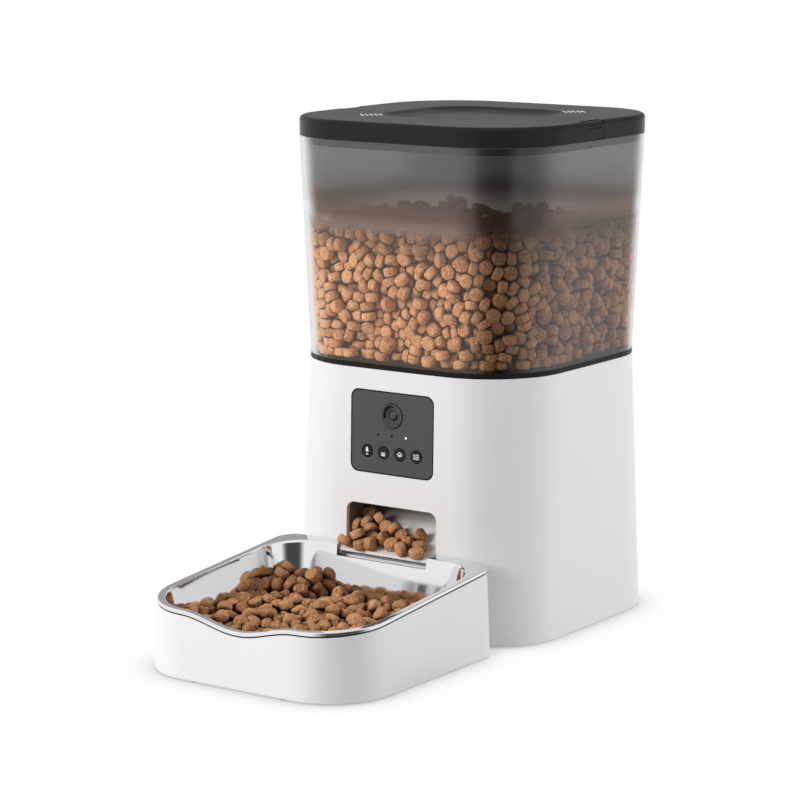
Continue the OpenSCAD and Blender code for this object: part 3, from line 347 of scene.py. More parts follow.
class Nodes:
    """Adds nodes to a node tree, and sets or links their inputs."""

    def __init__(self, tree):
        self.tree = tree

    def feed(self, socket, value):
        if isinstance(value, bpy.types.NodeSocket):
            self.tree.links.new(value, socket)
        else:
            socket.default_value = value

    def fill(self, node, **sockets):
        for key, value in sockets.items():
            self.feed(node.inputs[key.replace("_", " ")], value)
        return node

    def add(self, kind, **sockets):
        return self.fill(self.tree.nodes.new(kind), **sockets)

    def operate(self, kind, operation, a, b):
        node = self.add(kind)
        node.operation = operation
        self.feed(node.inputs[0], a)
        self.feed(node.inputs[1], b)
        return node.outputs

    def math(self, operation, a, b=0.0):
        return self.operate("ShaderNodeMath", operation, a, b)["Value"]

    def times(self, a, b):
        return self.math("MULTIPLY", a, b)

    def most(self, a, b):
        return self.math("MAXIMUM", a, b)

    def vector(self, operation, a, b=(0, 0, 0)):
        outputs = self.operate("ShaderNodeVectorMath", operation, a, b)
        return outputs["Vector" if operation == "NORMALIZE" else "Value"]

    def split(self, vector):
        return self.add("ShaderNodeSeparateXYZ", Vector=vector).outputs

    def span(self, value, low, high):
        return self.add("ShaderNodeMapRange", Value=value, To_Min=low, To_Max=high).outputs["Result"]

    def ease(self, value, start, end, low=0.0, high=1.0):
        node = self.add("ShaderNodeMapRange", Value=value, From_Min=start, From_Max=end, To_Min=low,
                        To_Max=high)
        node.interpolation_type = "SMOOTHSTEP"
        return node.outputs["Result"]

    def blend(self, factor, a, b):
        return self.add("ShaderNodeMixRGB", Fac=factor, Color1=a, Color2=b).outputs["Color"]

    def layer(self, factor, under, over):
        node = self.add("ShaderNodeMixShader", Fac=factor)
        self.feed(node.inputs[1], under)
        self.feed(node.inputs[2], over)
        return node.outputs[0]


class Shader(Nodes):
    """A Principled material with its texture nodes in the object's own coordinates."""

    def __init__(self, name, **settings):
        self.material = materials[name] = bpy.data.materials.new(name)
        self.material.use_nodes = True
        super().__init__(self.material.node_tree)
        self.bsdf = self.tree.nodes["Principled BSDF"]
        self.place = self.add("ShaderNodeTexCoord").outputs["Object"]
        self.set(**settings)

    def set(self, **settings):
        self.fill(self.bsdf, **settings)

    def noise(self, scale, detail=3, stretch=(1, 1, 1)):
        mapping = self.add("ShaderNodeMapping", Vector=self.place, Scale=stretch)
        return self.add("ShaderNodeTexNoise", Vector=mapping.outputs["Vector"], Scale=scale,
                        Detail=detail).outputs["Fac"]

    def cells(self, scale):
        return self.add("ShaderNodeTexVoronoi", Vector=self.place, Scale=scale).outputs["Distance"]

    def closeness(self, reach):
        node = self.add("ShaderNodeAmbientOcclusion", Distance=reach)
        node.samples = 6
        return node

    def bump(self, height, strength, depth):
        self.set(Normal=self.add("ShaderNodeBump", Height=height, Strength=strength,
                                 Distance=depth).outputs["Normal"])


def grey(level, warm=0.0):
    return (level * (1 + warm), level, level * (1 - warm), 1)


def moulded(name, colour, spread, rough, grain=900, relief=0.06, **settings):
    """Moulded plastic or paint: slow colour drift, uneven gloss and a fine moulded grain."""
    net = Shader(name, **settings)
    slow, fine = net.noise(22), net.noise(grain, 2)
    darker = tuple(c * (1 - spread) for c in colour[:3]) + (1,)
    net.set(Base_Color=net.blend(slow, darker, colour),
            Roughness=net.span(slow, rough - 0.05, rough + 0.05))
    net.bump(fine, relief, 0.00015)


def metal(name, colour, rough, stretch=(1, 1, 1), relief=0.05):
    net = Shader(name, Metallic=1.0)
    grain, slow = net.noise(420, 3, stretch), net.noise(30)
    darker = tuple(c * 0.92 for c in colour[:3]) + (1,)
    net.set(Base_Color=net.blend(slow, darker, colour),
            Roughness=net.span(grain, rough * 0.7, rough * 1.4))
    net.bump(grain, relief, 0.0001)


def kibble_material(name, strength=1.0, lift=1.0, reach=0.006):
    """Baked food: a shade of brown for each piece, crumbs, pores and specks, and painted shade between the
    pieces.
    """
    net = Shader(name, Specular_IOR_Level=0.2)
    shade = net.add("ShaderNodeAttribute")
    shade.attribute_name = "shade"
    crumb, pores = net.noise(900, 4), net.cells(420)
    dark, light, speck = ((r * lift, g * lift, b * lift, 1) for r, g, b in
                          ((0.36, 0.148, 0.06), (0.6, 0.295, 0.135), (0.7, 0.41, 0.22)))
    body = net.blend(shade.outputs["Fac"], dark, light)
    mottled = net.blend(net.ease(crumb, 0.42, 0.7), body, speck)
    pitted = net.blend(net.ease(pores, 0.22, 0.05), mottled, (0.14, 0.055, 0.022, 1))
    # Painted shade: the colour darkens to near black where other pieces are close, and everywhere when
    # strength is low.
    crevice_shade = net.closeness(reach)
    crevice_shade.only_local = True
    unshaded_share = net.times(net.ease(crevice_shade.outputs["AO"], 0.16, 0.82), strength)
    net.set(Base_Color=net.blend(unshaded_share, (0.03, 0.011, 0.004, 1), pitted),
            Roughness=net.span(crumb, 0.7, 0.92))
    net.bump(net.math("ADD", crumb, net.ease(pores, 0.0, 0.5)), 0.55, 0.0009)


def chute_material():
    """White plastic with a painted brown shade that deepens towards the inside of the chute."""
    net = Shader("chute_painted_shade", Roughness=0.45)
    place = net.split(net.place)
    # Painted shade: brown darkening that grows higher up and towards -X, unevenly.
    inwards = net.math("SUBTRACT", place["Z"], net.times(place["X"], 0.4))
    painted_brown = net.times(net.ease(inwards, 0.056, 0.086), net.span(net.noise(60), 0.75, 1.0))
    net.set(Base_Color=net.blend(painted_brown, (0.84, 0.83, 0.82, 1), (0.12, 0.055, 0.03, 1)))
    net.bump(net.noise(900, 2), 0.05, 0.00015)


def board_material():
    """Green board with copper runs under the lacquer."""
    net = Shader("circuit_board", Specular_IOR_Level=0.5)
    bricks = net.add("ShaderNodeTexBrick", Vector=net.place, Scale=120.0, Mortar_Size=0.03)
    runs = net.ease(bricks.outputs["Fac"], 0.2, 0.8)
    lacquer = net.blend(net.noise(60), (0.008, 0.085, 0.035, 1), (0.012, 0.12, 0.05, 1))
    net.set(Base_Color=net.blend(runs, lacquer, (0.05, 0.2, 0.06, 1)),
            Roughness=net.span(runs, 0.35, 0.22))
    net.bump(runs, 0.2, 0.0002)


def tank_material(inner):
    """Clear plastic: smoked above the food, with painted glare on the two sides, painted reflections at the
    edges and in streaks, painted dark reflections at two corners, and a painted brown reflection of the
    food just above it, on both faces.
    """
    net = Shader("tank_inside" if inner else "tank_outside", Specular_IOR_Level=0.5)
    place, patch = net.split(net.place), net.noise(35, 2)

    def rising(start, end):
        return net.ease(place["Z"], (FOOD_TOP + start) * MM, (FOOD_TOP + end) * MM)

    if inner:
        # Painted reflection of the food: a brown film on the inner face, thickest about the food's top.
        painted_brown = net.times(rising(34, -4), net.span(patch, 0.6, 0.95))
        net.set(Base_Color=net.blend(patch, (0.07, 0.042, 0.03, 1), (0.12, 0.075, 0.052, 1)),
                Alpha=net.span(net.times(painted_brown, rising(-30, 4)), 0.02, 0.6),
                Roughness=net.span(patch, 0.3, 0.5))
        return
    # Smoked above the food, with a painted brown reflection of the food in a band just above its top.
    smoked, food_reflection = rising(-12, 6), rising(34, 4)
    # Painted glare on the two side faces, painted dark reflections at the front-right and rear-left
    # corners, and painted vertical reflection streaks low on the wall, left of the middle.
    facing = net.split(net.add("ShaderNodeTexCoord").outputs["Normal"])
    side = net.ease(net.math("ABSOLUTE", facing["X"]), 0.75, 0.96)
    corner = net.ease(net.times(facing["X"], facing["Y"]), -0.12, -0.5)
    across = net.math("ABSOLUTE", net.math("SUBTRACT", place["X"], -0.034))
    streaks = net.times(net.ease(net.noise(170, 2, (1, 1, 0.012)), 0.5, 0.68),
                        net.times(net.ease(across, 0.042, 0.024), rising(-10, -40)))
    smoke = net.times(smoked, net.most(net.span(corner, 0.72, 0.9), net.span(food_reflection, 0.0, 0.955)))
    glare_and_dark_corner = net.most(net.span(side, 0.13, 0.5), net.span(corner, 0.0, 0.5))
    smoke_and_glare = net.most(smoke, net.most(glare_and_dark_corner, net.span(streaks, 0.0, 0.24)))
    glare_and_corner_tone = net.blend(corner, (0.66, 0.52, 0.43, 1), (0.02, 0.012, 0.008, 1))
    low = net.blend(side, net.blend(streaks, glare_and_corner_tone, (0.72, 0.64, 0.58, 1)), (0.165, 0.15, 0.143, 1))
    high = net.blend(corner, net.blend(food_reflection, (0.12, 0.12, 0.121, 1), (0.125, 0.075, 0.056, 1)),
                     net.blend(food_reflection, (0.02, 0.02, 0.02, 1), (0.03, 0.016, 0.01, 1)))
    # Painted reflection: the wall turns whiter and less clear where it is seen edge-on.
    edge = net.math("SUBTRACT", net.add("ShaderNodeLayerWeight", Blend=0.35).outputs["Facing"],
                    net.times(facing["X"], 0.05))
    rim = net.ease(edge, 0.34, 0.62)
    net.set(Base_Color=net.blend(rim, net.blend(smoked, low, high), (0.78, 0.78, 0.78, 1)),
            Alpha=net.most(smoke_and_glare, net.span(rim, 0.0, 0.8)),
            Roughness=net.span(patch, 0.08, 0.14))
    net.bump(net.noise(70, 2), 0.03, 0.0004)


def light_material():
    net = Shader("light", Roughness=0.25, Emission_Strength=0.6)
    glow = net.blend(net.noise(800), (0.85, 0.88, 0.95, 1), (0.97, 0.98, 1, 1))
    net.set(Base_Color=glow, Emission_Color=glow)


FOOD_TOP = 253

moulded("white_plastic", grey(0.855), 0.02, 0.34, relief=0.04)
moulded("black_gloss", grey(0.025), 0.25, 0.26, relief=0.03, Specular_IOR_Level=0.062)
moulded("black_plastic", grey(0.009), 0.25, 0.42, relief=0.12, Specular_IOR_Level=0.15)
moulded("grey_panel", grey(0.075), 0.06, 0.42, relief=0.06, Specular_IOR_Level=0.3)
metal("polished_steel", (0.84, 0.84, 0.85, 1), 0.06, (0.2, 1, 1), 0.008)
metal("steel", (0.55, 0.56, 0.58, 1), 0.3)
metal("brass", (0.72, 0.52, 0.2, 1), 0.3)
metal("bracket_metal", (0.6, 0.61, 0.63, 1), 0.38, (1, 0.1, 1))
moulded("rubber", grey(0.02), 0.3, 0.78, 1400, 0.3)
moulded("gear_plastic", (0.78, 0.75, 0.66, 1), 0.05, 0.42)
moulded("cell_wrap", (0.045, 0.055, 0.07, 1), 0.3, 0.3)
board_material()
moulded("lens", (0.006, 0.008, 0.014, 1), 0.5, 0.08, relief=0.0, Coat_Weight=1.0, Coat_Roughness=0.03)
light_material()
moulded("paper", (0.8, 0.79, 0.76, 1), 0.06, 0.85, 1600, 0.4)
tank_material(False)
tank_material(True)
kibble_material("kibble", 1.0, 1.04, 0.01)
# Painted light: the food in the tank is a copy half again as bright, for the light that the tank's wall
# holds back.
kibble_material("kibble_tank", 1.0, 1.5)
# Painted shade: the food deep in the tank keeps little but the dark colour between pieces.
kibble_material("kibble_deep", 0.12)
moulded("camera_black", grey(0.008), 0.3, 0.12, relief=0.02, Coat_Weight=0.6, Coat_Roughness=0.05)
moulded("icon_white", grey(0.88), 0.03, 0.5)
chute_material()
materials["clear_plastic"] = materials["tank_outside"]


def paint(obj, *names):
    for name in names:
        obj.data.materials.append(materials[name])


for name, obj in nodes.items():
    obj.data.materials.clear()
    paint(obj, "chute_painted_shade" if name == "chute" else slot_of[name])


def dress(obj, body, slot, replaced=(), material=None, edge=0.0, sharp=50):
    """Finishes a piece: edges, shading, material, and the body that carries it."""
    if edge:
        bevel(obj, edge)
        settle_modifiers(obj)
    smooth(obj, sharp)
    if not obj.data.materials:
        paint(obj, material or slot)
    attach(obj, body)
    if replaced:
        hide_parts(*replaced)
    return obj


# Fine edges on the visible pieces that stay as they come from CAD
EDGE_W, EDGE_ANGLE = 0.3, 40
for name in ("latch_right", "latch_left", "chute", "power_jack", "base_plate", "battery_door",
             "hopper_deck"):
    bevel(nodes[name], EDGE_W, EDGE_ANGLE).harden_normals = True

# Camera at the photograph's viewing angle
CAMERA_PLACE, CAMERA_LOOK = (1.00072, -1.43803, 0.46082), (-0.5629, 0.8072, -0.1778)
CAMERA_LENS, CAMERA_SENSOR = 131.67, 36
camera = place_object("camera", bpy.data.cameras.new("camera"))
camera.location = CAMERA_PLACE
camera.rotation_euler = Vector(CAMERA_LOOK).to_track_quat("-Z", "Y").to_euler()
camera.data.lens = CAMERA_LENS
camera.data.sensor_width = CAMERA_SENSOR
scene.camera = camera


# Base housing
WINDOW_IN, WINDOW_R = 8, 2
GRILLE_ROWS, GRILLE_PITCH, GRILLE_R, JACK_R = 4, 4.8, 1.1, 4.05
FOOT_ROUND, TOP_ROUND = 0.8, 0.5


def base_cutters():
    """Panel pocket and window, food outlet, sockets of the tray, speaker grille and power inlet."""
    room = TONGUE_W / 2 + FIT_GAP
    cuts = [
        slab("pocket", panel_w + FIT_GAP, panel_h + FIT_GAP, PANEL_R, ahead_y, pocket_y, panel_z),
        slab("window", panel_w - WINDOW_IN, panel_h - WINDOW_IN, WINDOW_R, pocket_y - 1, pocket_y + CLEAR,
             panel_z),
        slab("mouth", OUTLET_W, OUTLET_TOP - NOTCH_Z, OUTLET_R, ahead_y, ahead_y + CUT_DEEP,
             (OUTLET_TOP + NOTCH_Z) / 2),
    ]
    cuts += pair("socket", TONGUE_X - room, TONGUE_X + room, ahead_y, ahead_y + CUT_DEEP,
                 TONGUE_Z - FIT_GAP, TONGUE_Z + TONGUE_T + FIT_GAP)
    rear_y, grille_z = -ahead_y, middle("speaker")[2]
    holes = []
    for k in range(GRILLE_ROWS):
        for i in range(max(6 * k, 1)):
            a = radians(60 * i / max(k, 1))
            off = k * GRILLE_PITCH
            holes.append(turned("hole", [(GRILLE_R, rear_y - CUT_DEEP), (GRILLE_R, rear_y)],
                                off * cos(a), grille_z + off * sin(a), 16))
    cuts.append(join("grille", holes))
    cuts.append(turned("inlet", [(JACK_R, rear_y - CUT_DEEP), (JACK_R, rear_y)], 0,
                       middle("power_jack")[2], 48))
    return cuts


base_rings = round_edge(base_ring, foot_gap, FOOT_ROUND, below=True)
base_rings += [base_ring(mix(foot_gap, base_top, t)) for t in (0.25, 0.5, 0.75)]
base_rings += round_edge(base_ring, base_top, TOP_ROUND, 3)
base_rings += [base_ring(base_top, BASE_WALL), base_ring(foot_gap, BASE_WALL)]
base = combine(loft("base_housing", base_rings, loop=True), base_cutters())
dress(base, "base", "white_plastic", ["base_shell"], edge=0.45)

# Control panel: a black edge plate as a painted shadow of the gap round the face, a grey face and the
# pieces in its bores
LENS_R, BUTTON_R, DOT_R, BORE_GAP = 7.7, 4, 0.75, 0.2
PANEL_SINK, PANEL_RIM, PANEL_EDGE_SINK, PANEL_FACE_T = 0.15, 0.75, 0.35, 0.3
lens_y, lens_z = lens_lo.y - axis_y, middle("lens_barrel")[2]
dot_pitch, _, dot_z = middle("status_led")
BUTTONS = ("button_talk", "button_lock", "button_feed", "button_set")
button_at = {}
for name in BUTTONS:
    low, high = box_mm(name)
    button_at[name] = ((low.x + high.x) / 2, (low.z + high.z) / 2, low.y - axis_y, high.y - axis_y)


def panel_plate(name, rim, sink, back_y):
    """Plate that follows the housing's front, with bores for camera, buttons and small holes."""
    plate = slab(name, panel_w - 2 * rim, panel_h - 2 * rim, PANEL_R - rim / 2, ahead_y, back_y, panel_z)
    skin = loft("skin", [base_ring(panel_z - panel_h, sink), base_ring(panel_z + panel_h, sink)])
    combine(plate, [skin], "INTERSECT")
    bores = [(0, lens_z, LENS_R + BORE_GAP, 64)]
    bores += [(x, dot_z, DOT_R, 24) for x in (-dot_pitch, 0, dot_pitch)]
    bores += [(x, z, BUTTON_R + BORE_GAP, 48) for x, z, _, _ in button_at.values()]
    holes = [turned("bore", [(r, ahead_y), (r, pocket_y + CLEAR)], x, z, n) for x, z, r, n in bores]
    return combine(plate, [join("bores", holes)])


# Painted shadow: the edge plate is black, for the dark gap line round the grey face.
panel_back = panel_plate("panel_edge", 0, PANEL_EDGE_SINK, pocket_y)
dress(panel_back, "base", "grey_panel", ["front_panel"], "black_plastic", edge=0.15)
panel_face = panel_plate("panel_face", PANEL_RIM, PANEL_SINK, pocket_y - PANEL_FACE_T)
dress(panel_face, "base", "grey_panel", edge=0.2)

# Camera ring and glass, from pairs of radius and depth
ring_profile = [(3.2, 2.6), (3.2, 1.9), (3.6, 1.7), (4.1, 1.7), (4.3, 1.5), (5.0, 1.45), (5.3, 1.3),
                (5.9, 0.55), (6.3, 0.3), (6.9, 0.05), (7.2, 0.0), (7.5, 0.12), (LENS_R, 0.45),
                (LENS_R, 4.0)]
barrel = turned("camera_ring", [(r, lens_y + d) for r, d in ring_profile], 0, lens_z, 96)
dress(barrel, "base", "lens", ["lens_barrel"], "camera_black", sharp=40)
GLASS_R, GLASS_BACK, DOME_TURN = 3.1, 2.6, 1.05
dome = [(GLASS_R * sin(a) / sin(DOME_TURN), GLASS_BACK - 0.6 - 1.1 * (2 * cos(a) - 1))
        for a in (0.06, 0.2, 0.4, 0.6, 0.8, 0.95, DOME_TURN)]
glass = turned("camera_glass", [(r, lens_y + d) for r, d in dome + [(GLASS_R, GLASS_BACK)]], 0, lens_z)
dress(glass, "base", "lens", ["lens_glass"])


# Buttons with generic signs: a microphone, a padlock, a filled bowl and sliders
SIGN, SIGN_RISE = 1.2, 0.08
CAP_DISH, COLLAR_R, COLLAR_T, COLLAR_BACK, STEM_R = 0.22, 5.0, 1.0, 0.3, 1.5


def stroke(points, r, y, cap=10):
    """Flat rounded line through points of the XZ plane, standing out of a button's face."""
    parts = []
    for (ax, az), (bx, bz) in zip(points, points[1:]):
        turn = atan2(bz - az, bx - ax)
        turns = [turn + pi * (i / cap - 0.5) for i in range(cap + 1)]
        rim = [(bx + r * cos(a), bz + r * sin(a)) for a in turns]
        rim += [(ax - r * cos(a), az - r * sin(a)) for a in turns]
        parts.append(loft("stroke", [[(x, depth, z) for x, z in rim] for depth in (y, y - SIGN_RISE)]))
    return parts


def arc(cx, cz, r, start, end, count=12):
    turns = [radians(mix(start, end, i / count)) for i in range(count + 1)]
    return [(cx + r * cos(a), cz + r * sin(a)) for a in turns]


def sign(name):
    """Strokes of a sign as lists of points with a half width, in a button's own coordinates."""
    thin = 0.2
    if name == "button_talk":
        return [([(0, 1.25), (0, 0.15)], 0.72), (arc(0, 0.25, 1.2, 200, 340), thin),
                ([(0, -0.95), (0, -1.6)], thin), ([(-0.6, -1.75), (0.6, -1.75)], thin)]
    if name == "button_lock":
        body = [([(-0.95, -0.1 - 0.45 * i), (0.95, -0.1 - 0.45 * i)], 0.3) for i in range(4)]
        return body + [(arc(0, 0.55, 0.8, 0, 180), 0.24), ([(-0.8, 0.55), (-0.8, 0)], 0.24),
                       ([(0.8, 0.55), (0.8, 0)], 0.24)]
    if name == "button_feed":
        food = [([(x, z), (x + 0.1, z)], 0.36) for x, z in ((-0.85, 0.75), (0, 1.15), (0.85, 0.75))]
        return [([(-1.75, -0.1), (1.75, -0.1)], 0.26), (arc(0, -0.1, 1.4, 180, 360), 0.26),
                ([(-0.8, -0.6), (0.8, -0.6)], 0.34)] + food
    rows = [([(-1.7, z), (1.7, z)], thin) for z in (1.0, 0, -1.0)]
    return rows + [([(x, z), (x + 0.05, z)], 0.52) for x, z in ((0.7, 1.0), (-0.8, 0), (0.3, -1.0))]


for name in BUTTONS:
    x, z, front, back = button_at[name]
    collar = pocket_y + COLLAR_BACK - front
    profile = [(3.0, CAP_DISH), (3.4, 0.08), (3.62, 0.0), (3.82, 0.06), (BUTTON_R, 0.28),
               (BUTTON_R, collar), (COLLAR_R, collar), (COLLAR_R, collar + COLLAR_T),
               (STEM_R, collar + COLLAR_T), (STEM_R, back - front)]
    cap = turned(name + "_cap", [(r, front + d) for r, d in profile], x, z)
    dress(cap, name, "black_plastic", [name], "black_gloss", sharp=40)
    strokes = []
    for points, r in sign(name):
        points = [(x + SIGN * px, z + SIGN * pz) for px, pz in points]
        strokes += stroke(points, SIGN * r, front + CAP_DISH)
    icon = join(name + "_sign", strokes)
    dress(icon, name, "black_plastic", material="icon_white")

# Tank: outer faces smoked, with painted glare and reflections, inner faces with a painted brown reflection
# of the food, and a catch under each latch
LIP_DEEP, LIP_IN = 1.8, 1.4
CATCH_W, CATCH_H, CATCH_LOW, CATCH_ROOT = 10, 2.4, 4.6, 0.4
tank_rings = [base_ring(seam_z)] + [tank_ring(mix(seam_z, tank_top, t)) for t in (0.25, 0.5, 0.75)]
tank_rings += round_edge(tank_ring, tank_top, 0.4, 2)
outer_bands = len(tank_rings) - 1
lip_low = seam_z - LIP_DEEP
tank_rings += [tank_ring(tank_top, TANK_WALL), tank_ring(seam_z, TANK_WALL)]
tank_rings += [base_ring(lip_low, TANK_WALL), base_ring(lip_low, LIP_IN), base_ring(seam_z, LIP_IN)]
tank = loft("tank_walls", tank_rings, loop=True)
paint(tank, "clear_plastic", "tank_inside")
ring_n = len(tank_rings[0])
for face in tank.data.polygons:
    face.material_index = 0 if face.index // ring_n < outer_bands else 1
dress(tank, "tank", "clear_plastic", ["tank"])
latch_mid = middle("latch_right")[1] - axis_y
catch_z = tank_top - CATCH_LOW
catch = join("tank_catches", pair("catch", tank_half(catch_z) + SIDE_BOW - CATCH_ROOT, tank_hi.x,
                                  latch_mid - CATCH_W / 2, latch_mid + CATCH_W / 2, catch_z,
                                  catch_z + CATCH_H))
dress(catch, "tank", "clear_plastic", edge=0.2)

# Lid: dished top, plug, two groups of slots that are white inside as a painted highlight, a notch for each
# latch and the tube of the desiccant
FILLET, DISH_HALF, DISH_R, DISH_DEPTH, DISH_SLOPE, PLUG_H = 2.7, 46.5, 26, 2.4, 10, 4.8
DISH_LEAD, DISH_STEPS, DISH_POWER = 0.8, 8, 2.2
PLUG_IN, PLUG_WALL, LID_CHAMFER = TANK_WALL + 0.6, 2, 0.2
SLOT_FAR, SLOT_N, SLOT_PITCH, SLOT_LEN, SLOT_W, SLOT_DEEP = 64, 5, 2.9, 12, 1.5, 1.2
TUBE_WALL, TUBE_SHORT, TUBE_ROOT = 2, 2, 0.5
ceiling = lid_top - DISH_DEPTH - LID_T


def dish_ring(inset, z):
    return body_ring(DISH_HALF - inset, DISH_R - inset * 0.8, z)


lid_rings = [dish_ring(DISH_SLOPE, ceiling), lid_ring(ceiling, PLUG_IN + PLUG_WALL),
             tank_ring(tank_top - PLUG_H, PLUG_IN + PLUG_WALL), tank_ring(tank_top - PLUG_H, PLUG_IN),
             lid_ring(tank_top, PLUG_IN), lid_ring(tank_top, LID_CHAMFER),
             lid_ring(tank_top + LID_CHAMFER, 0)]
lid_rings += round_edge(lid_ring, lid_top, FILLET, 6)
for i in range(DISH_STEPS + 1):
    t = i / DISH_STEPS
    depth = DISH_DEPTH * (1 - (1 - t) ** DISH_POWER)
    lid_rings.append(dish_ring(mix(-DISH_LEAD, DISH_SLOPE, t), lid_top - depth))
lid = loft("lid_cover", lid_rings)
lid_cuts = pair("notch", latch_lo.x - 2, latch_hi.x + CLEAR, latch_lo.y - axis_y - FIT_GAP,
                latch_hi.y - axis_y + FIT_GAP, tank_top - 0.01, lid_top + CLEAR)
slots = []
for turn in (radians(45), radians(225)):
    for i in range(SLOT_N):
        far = SLOT_FAR + (i - (SLOT_N - 1) / 2) * SLOT_PITCH
        plan = outline(SLOT_W / 2, -SLOT_LEN / 2, SLOT_LEN / 2, SLOT_W / 2, SLOT_W / 2, 1, 5)
        c, s = cos(turn), sin(turn)
        place = [((far + px) * c - py * s, (far + px) * s + py * c) for px, py in plan]
        slots.append(loft("slot", [flat_ring(place, lid_top + z) for z in (-SLOT_DEEP, CLEAR)]))
slot_cut = join("slots", slots)
# Painted highlight: the slots' walls and floors are white.
for obj in (lid, slot_cut):
    paint(obj, "black_gloss", "icon_white")
for face in slot_cut.data.polygons:
    face.material_index = 1
lid_cuts.append(slot_cut)
combine(lid, lid_cuts)
tube_r = cap_hi.x + FIT_GAP
tube_low, tube_high = tank_top - TUBE_SHORT, ceiling + TUBE_ROOT
tube = spun("tube", [(tube_r, tube_high), (tube_r, tube_low), (tube_r + TUBE_WALL, tube_low),
                     (tube_r + TUBE_WALL, tube_high)])
combine(lid, [tube], "UNION")
dress(lid, "lid", "black_gloss", ["lid_shell"], edge=0.2, sharp=40)


# Tray with a stepped rim whose step is dark as a painted shadow in the gap under the bowl's skirt, two
# tongues and the notch under the outlet
def rear_notch():
    half, narrow = NOTCH_W / 2, NOTCH_W / 2 - NOTCH_TAPER
    rear, knee, end = tray_back_y + CLEAR, tray_back_y - NOTCH_SIDE, tray_back_y - NOTCH_L
    plan = [(-half, rear), (-half, knee), (-narrow, end), (narrow, end), (half, knee), (half, rear)]
    return loft("notch", [flat_ring(plan, NOTCH_Z), flat_ring(plan, NOTCH_Z + RIM_BACK_Z)])


rim_low = SKIRT_H + SKIRT_GAP
rim_step = STEEL_T + SKIRT_ROOM
ledge_low = STEEL_T + FIT_GAP
step_plan = tray_plan(TRAY_DRAFT + rim_step, rim_step)
ledge_plan = tray_plan(TRAY_DRAFT + FLANGE_W - BOWL_ROLL - FIT_GAP, FLANGE_BACK_W - BOWL_ROLL - FIT_GAP)
tray_rings = [flat_ring(tray_plan(HEM_EDGE, HEM_EDGE), foot_gap),
              flat_ring(tray_plan(0, 0), foot_gap + HEM_EDGE)]
for inset, low in ((0, 0.35), (0.1, 0.1), (0.35, 0)):
    tray_rings.append(rim_ring(tray_plan(TRAY_DRAFT + inset, inset), rim_low + low))
gap_shadow_band = len(tray_rings) - 1
tray_rings += [rim_ring(step_plan, rim_low), rim_ring(step_plan, ledge_low),
               rim_ring(ledge_plan, ledge_low), rim_ring(ledge_plan, rim_low + RIM_T),
               rim_ring(tray_plan(TRAY_DRAFT + TRAY_WALL, TRAY_WALL), rim_low + RIM_T),
               flat_ring(tray_plan(TRAY_WALL, TRAY_WALL), foot_gap + HEM_T)]
tray_rings += [flat_ring(tray_plan(HEM_W, HEM_W), z) for z in (foot_gap + HEM_T, foot_gap)]
tray = loft("tray_ring", tray_rings, loop=True)
# Painted shadow: the rim's step and its upstand take the dark rubber colour, for the shade in the gap under
# the bowl's skirt.
paint(tray, "white_plastic", "rubber")
for face in tray.data.polygons:
    face.material_index = 1 if gap_shadow_band <= face.index // len(step_plan) <= gap_shadow_band + 1 else 0
tongues = pair("tongue", TONGUE_X - TONGUE_W / 2, TONGUE_X + TONGUE_W / 2, tray_back_y - TRAY_WALL / 2,
               tray_back_y + TONGUE_L, TONGUE_Z, TONGUE_Z + TONGUE_T)
combine(tray, tongues, "UNION")
combine(tray, [rear_notch()])
dress(tray, "tray", "white_plastic", ["tray"], sharp=40)


# Bowl: deep-drawn sheet with a rolled inner edge and a flange on the tray's ledge, and a skirt round it
def bowl_side(out, steps):
    rings = []
    for i, a in enumerate(quarter(steps)):
        inset = BOWL_DRAFT + BOWL_ROUND * (1 - sin(a)) - out
        z = bowl_floor_z + BOWL_ROUND * (1 - cos(a)) - out * (1 - 0.75 * i / steps)
        rings.append(flat_ring(bowl_plan(inset), z))
    return rings


roll, skirt = [], []
for a in quarter(5):
    out, low = 1 - cos(a), 1 - sin(a)
    roll.append(rim_ring(bowl_plan(-BOWL_ROLL * out), BOWL_ROLL * low))
    skirt.append(rim_ring(tray_plan(TRAY_DRAFT + SKIRT_EDGE * out, SKIRT_EDGE * out), SKIRT_EDGE * low))
skirt_in = tray_plan(TRAY_DRAFT + STEEL_T, STEEL_T)
bowl_rings = bowl_side(STEEL_T, 8)
bowl_rings += [rim_ring(bowl_plan(-STEEL_T), BOWL_ROLL), rim_ring(bowl_plan(-BOWL_ROLL), STEEL_T),
               rim_ring(skirt_in, STEEL_T), rim_ring(skirt_in, SKIRT_H),
               rim_ring(tray_plan(TRAY_DRAFT, 0), SKIRT_H)]
bowl_rings += skirt + roll[::-1] + bowl_side(0, 8)[::-1]
bowl = loft("bowl_sheet", bowl_rings)
combine(bowl, [rear_notch()])
dress(bowl, "bowl", "polished_steel", ["bowl"], sharp=40)

# Kibble
KIBBLE_R, KIBBLE_H = 4.7, 3.0
SIM_SCALE, SUBSTEPS, SOLVER_STEPS, SIM_MARGIN, SIM_DRAG = 50, 10, 14, 0.004, 0.15
WALL_BACK, SIM_FAR = 40, 150


def kibble_profile(steps, power):
    rows = []
    for i in range(steps + 1):
        a = pi * (i / steps - 0.5) * 0.96
        out, up = abs(cos(a)) ** power, copysign(abs(sin(a)) ** power, a)
        rows.append((KIBBLE_R * out, KIBBLE_H * up))
    return rows


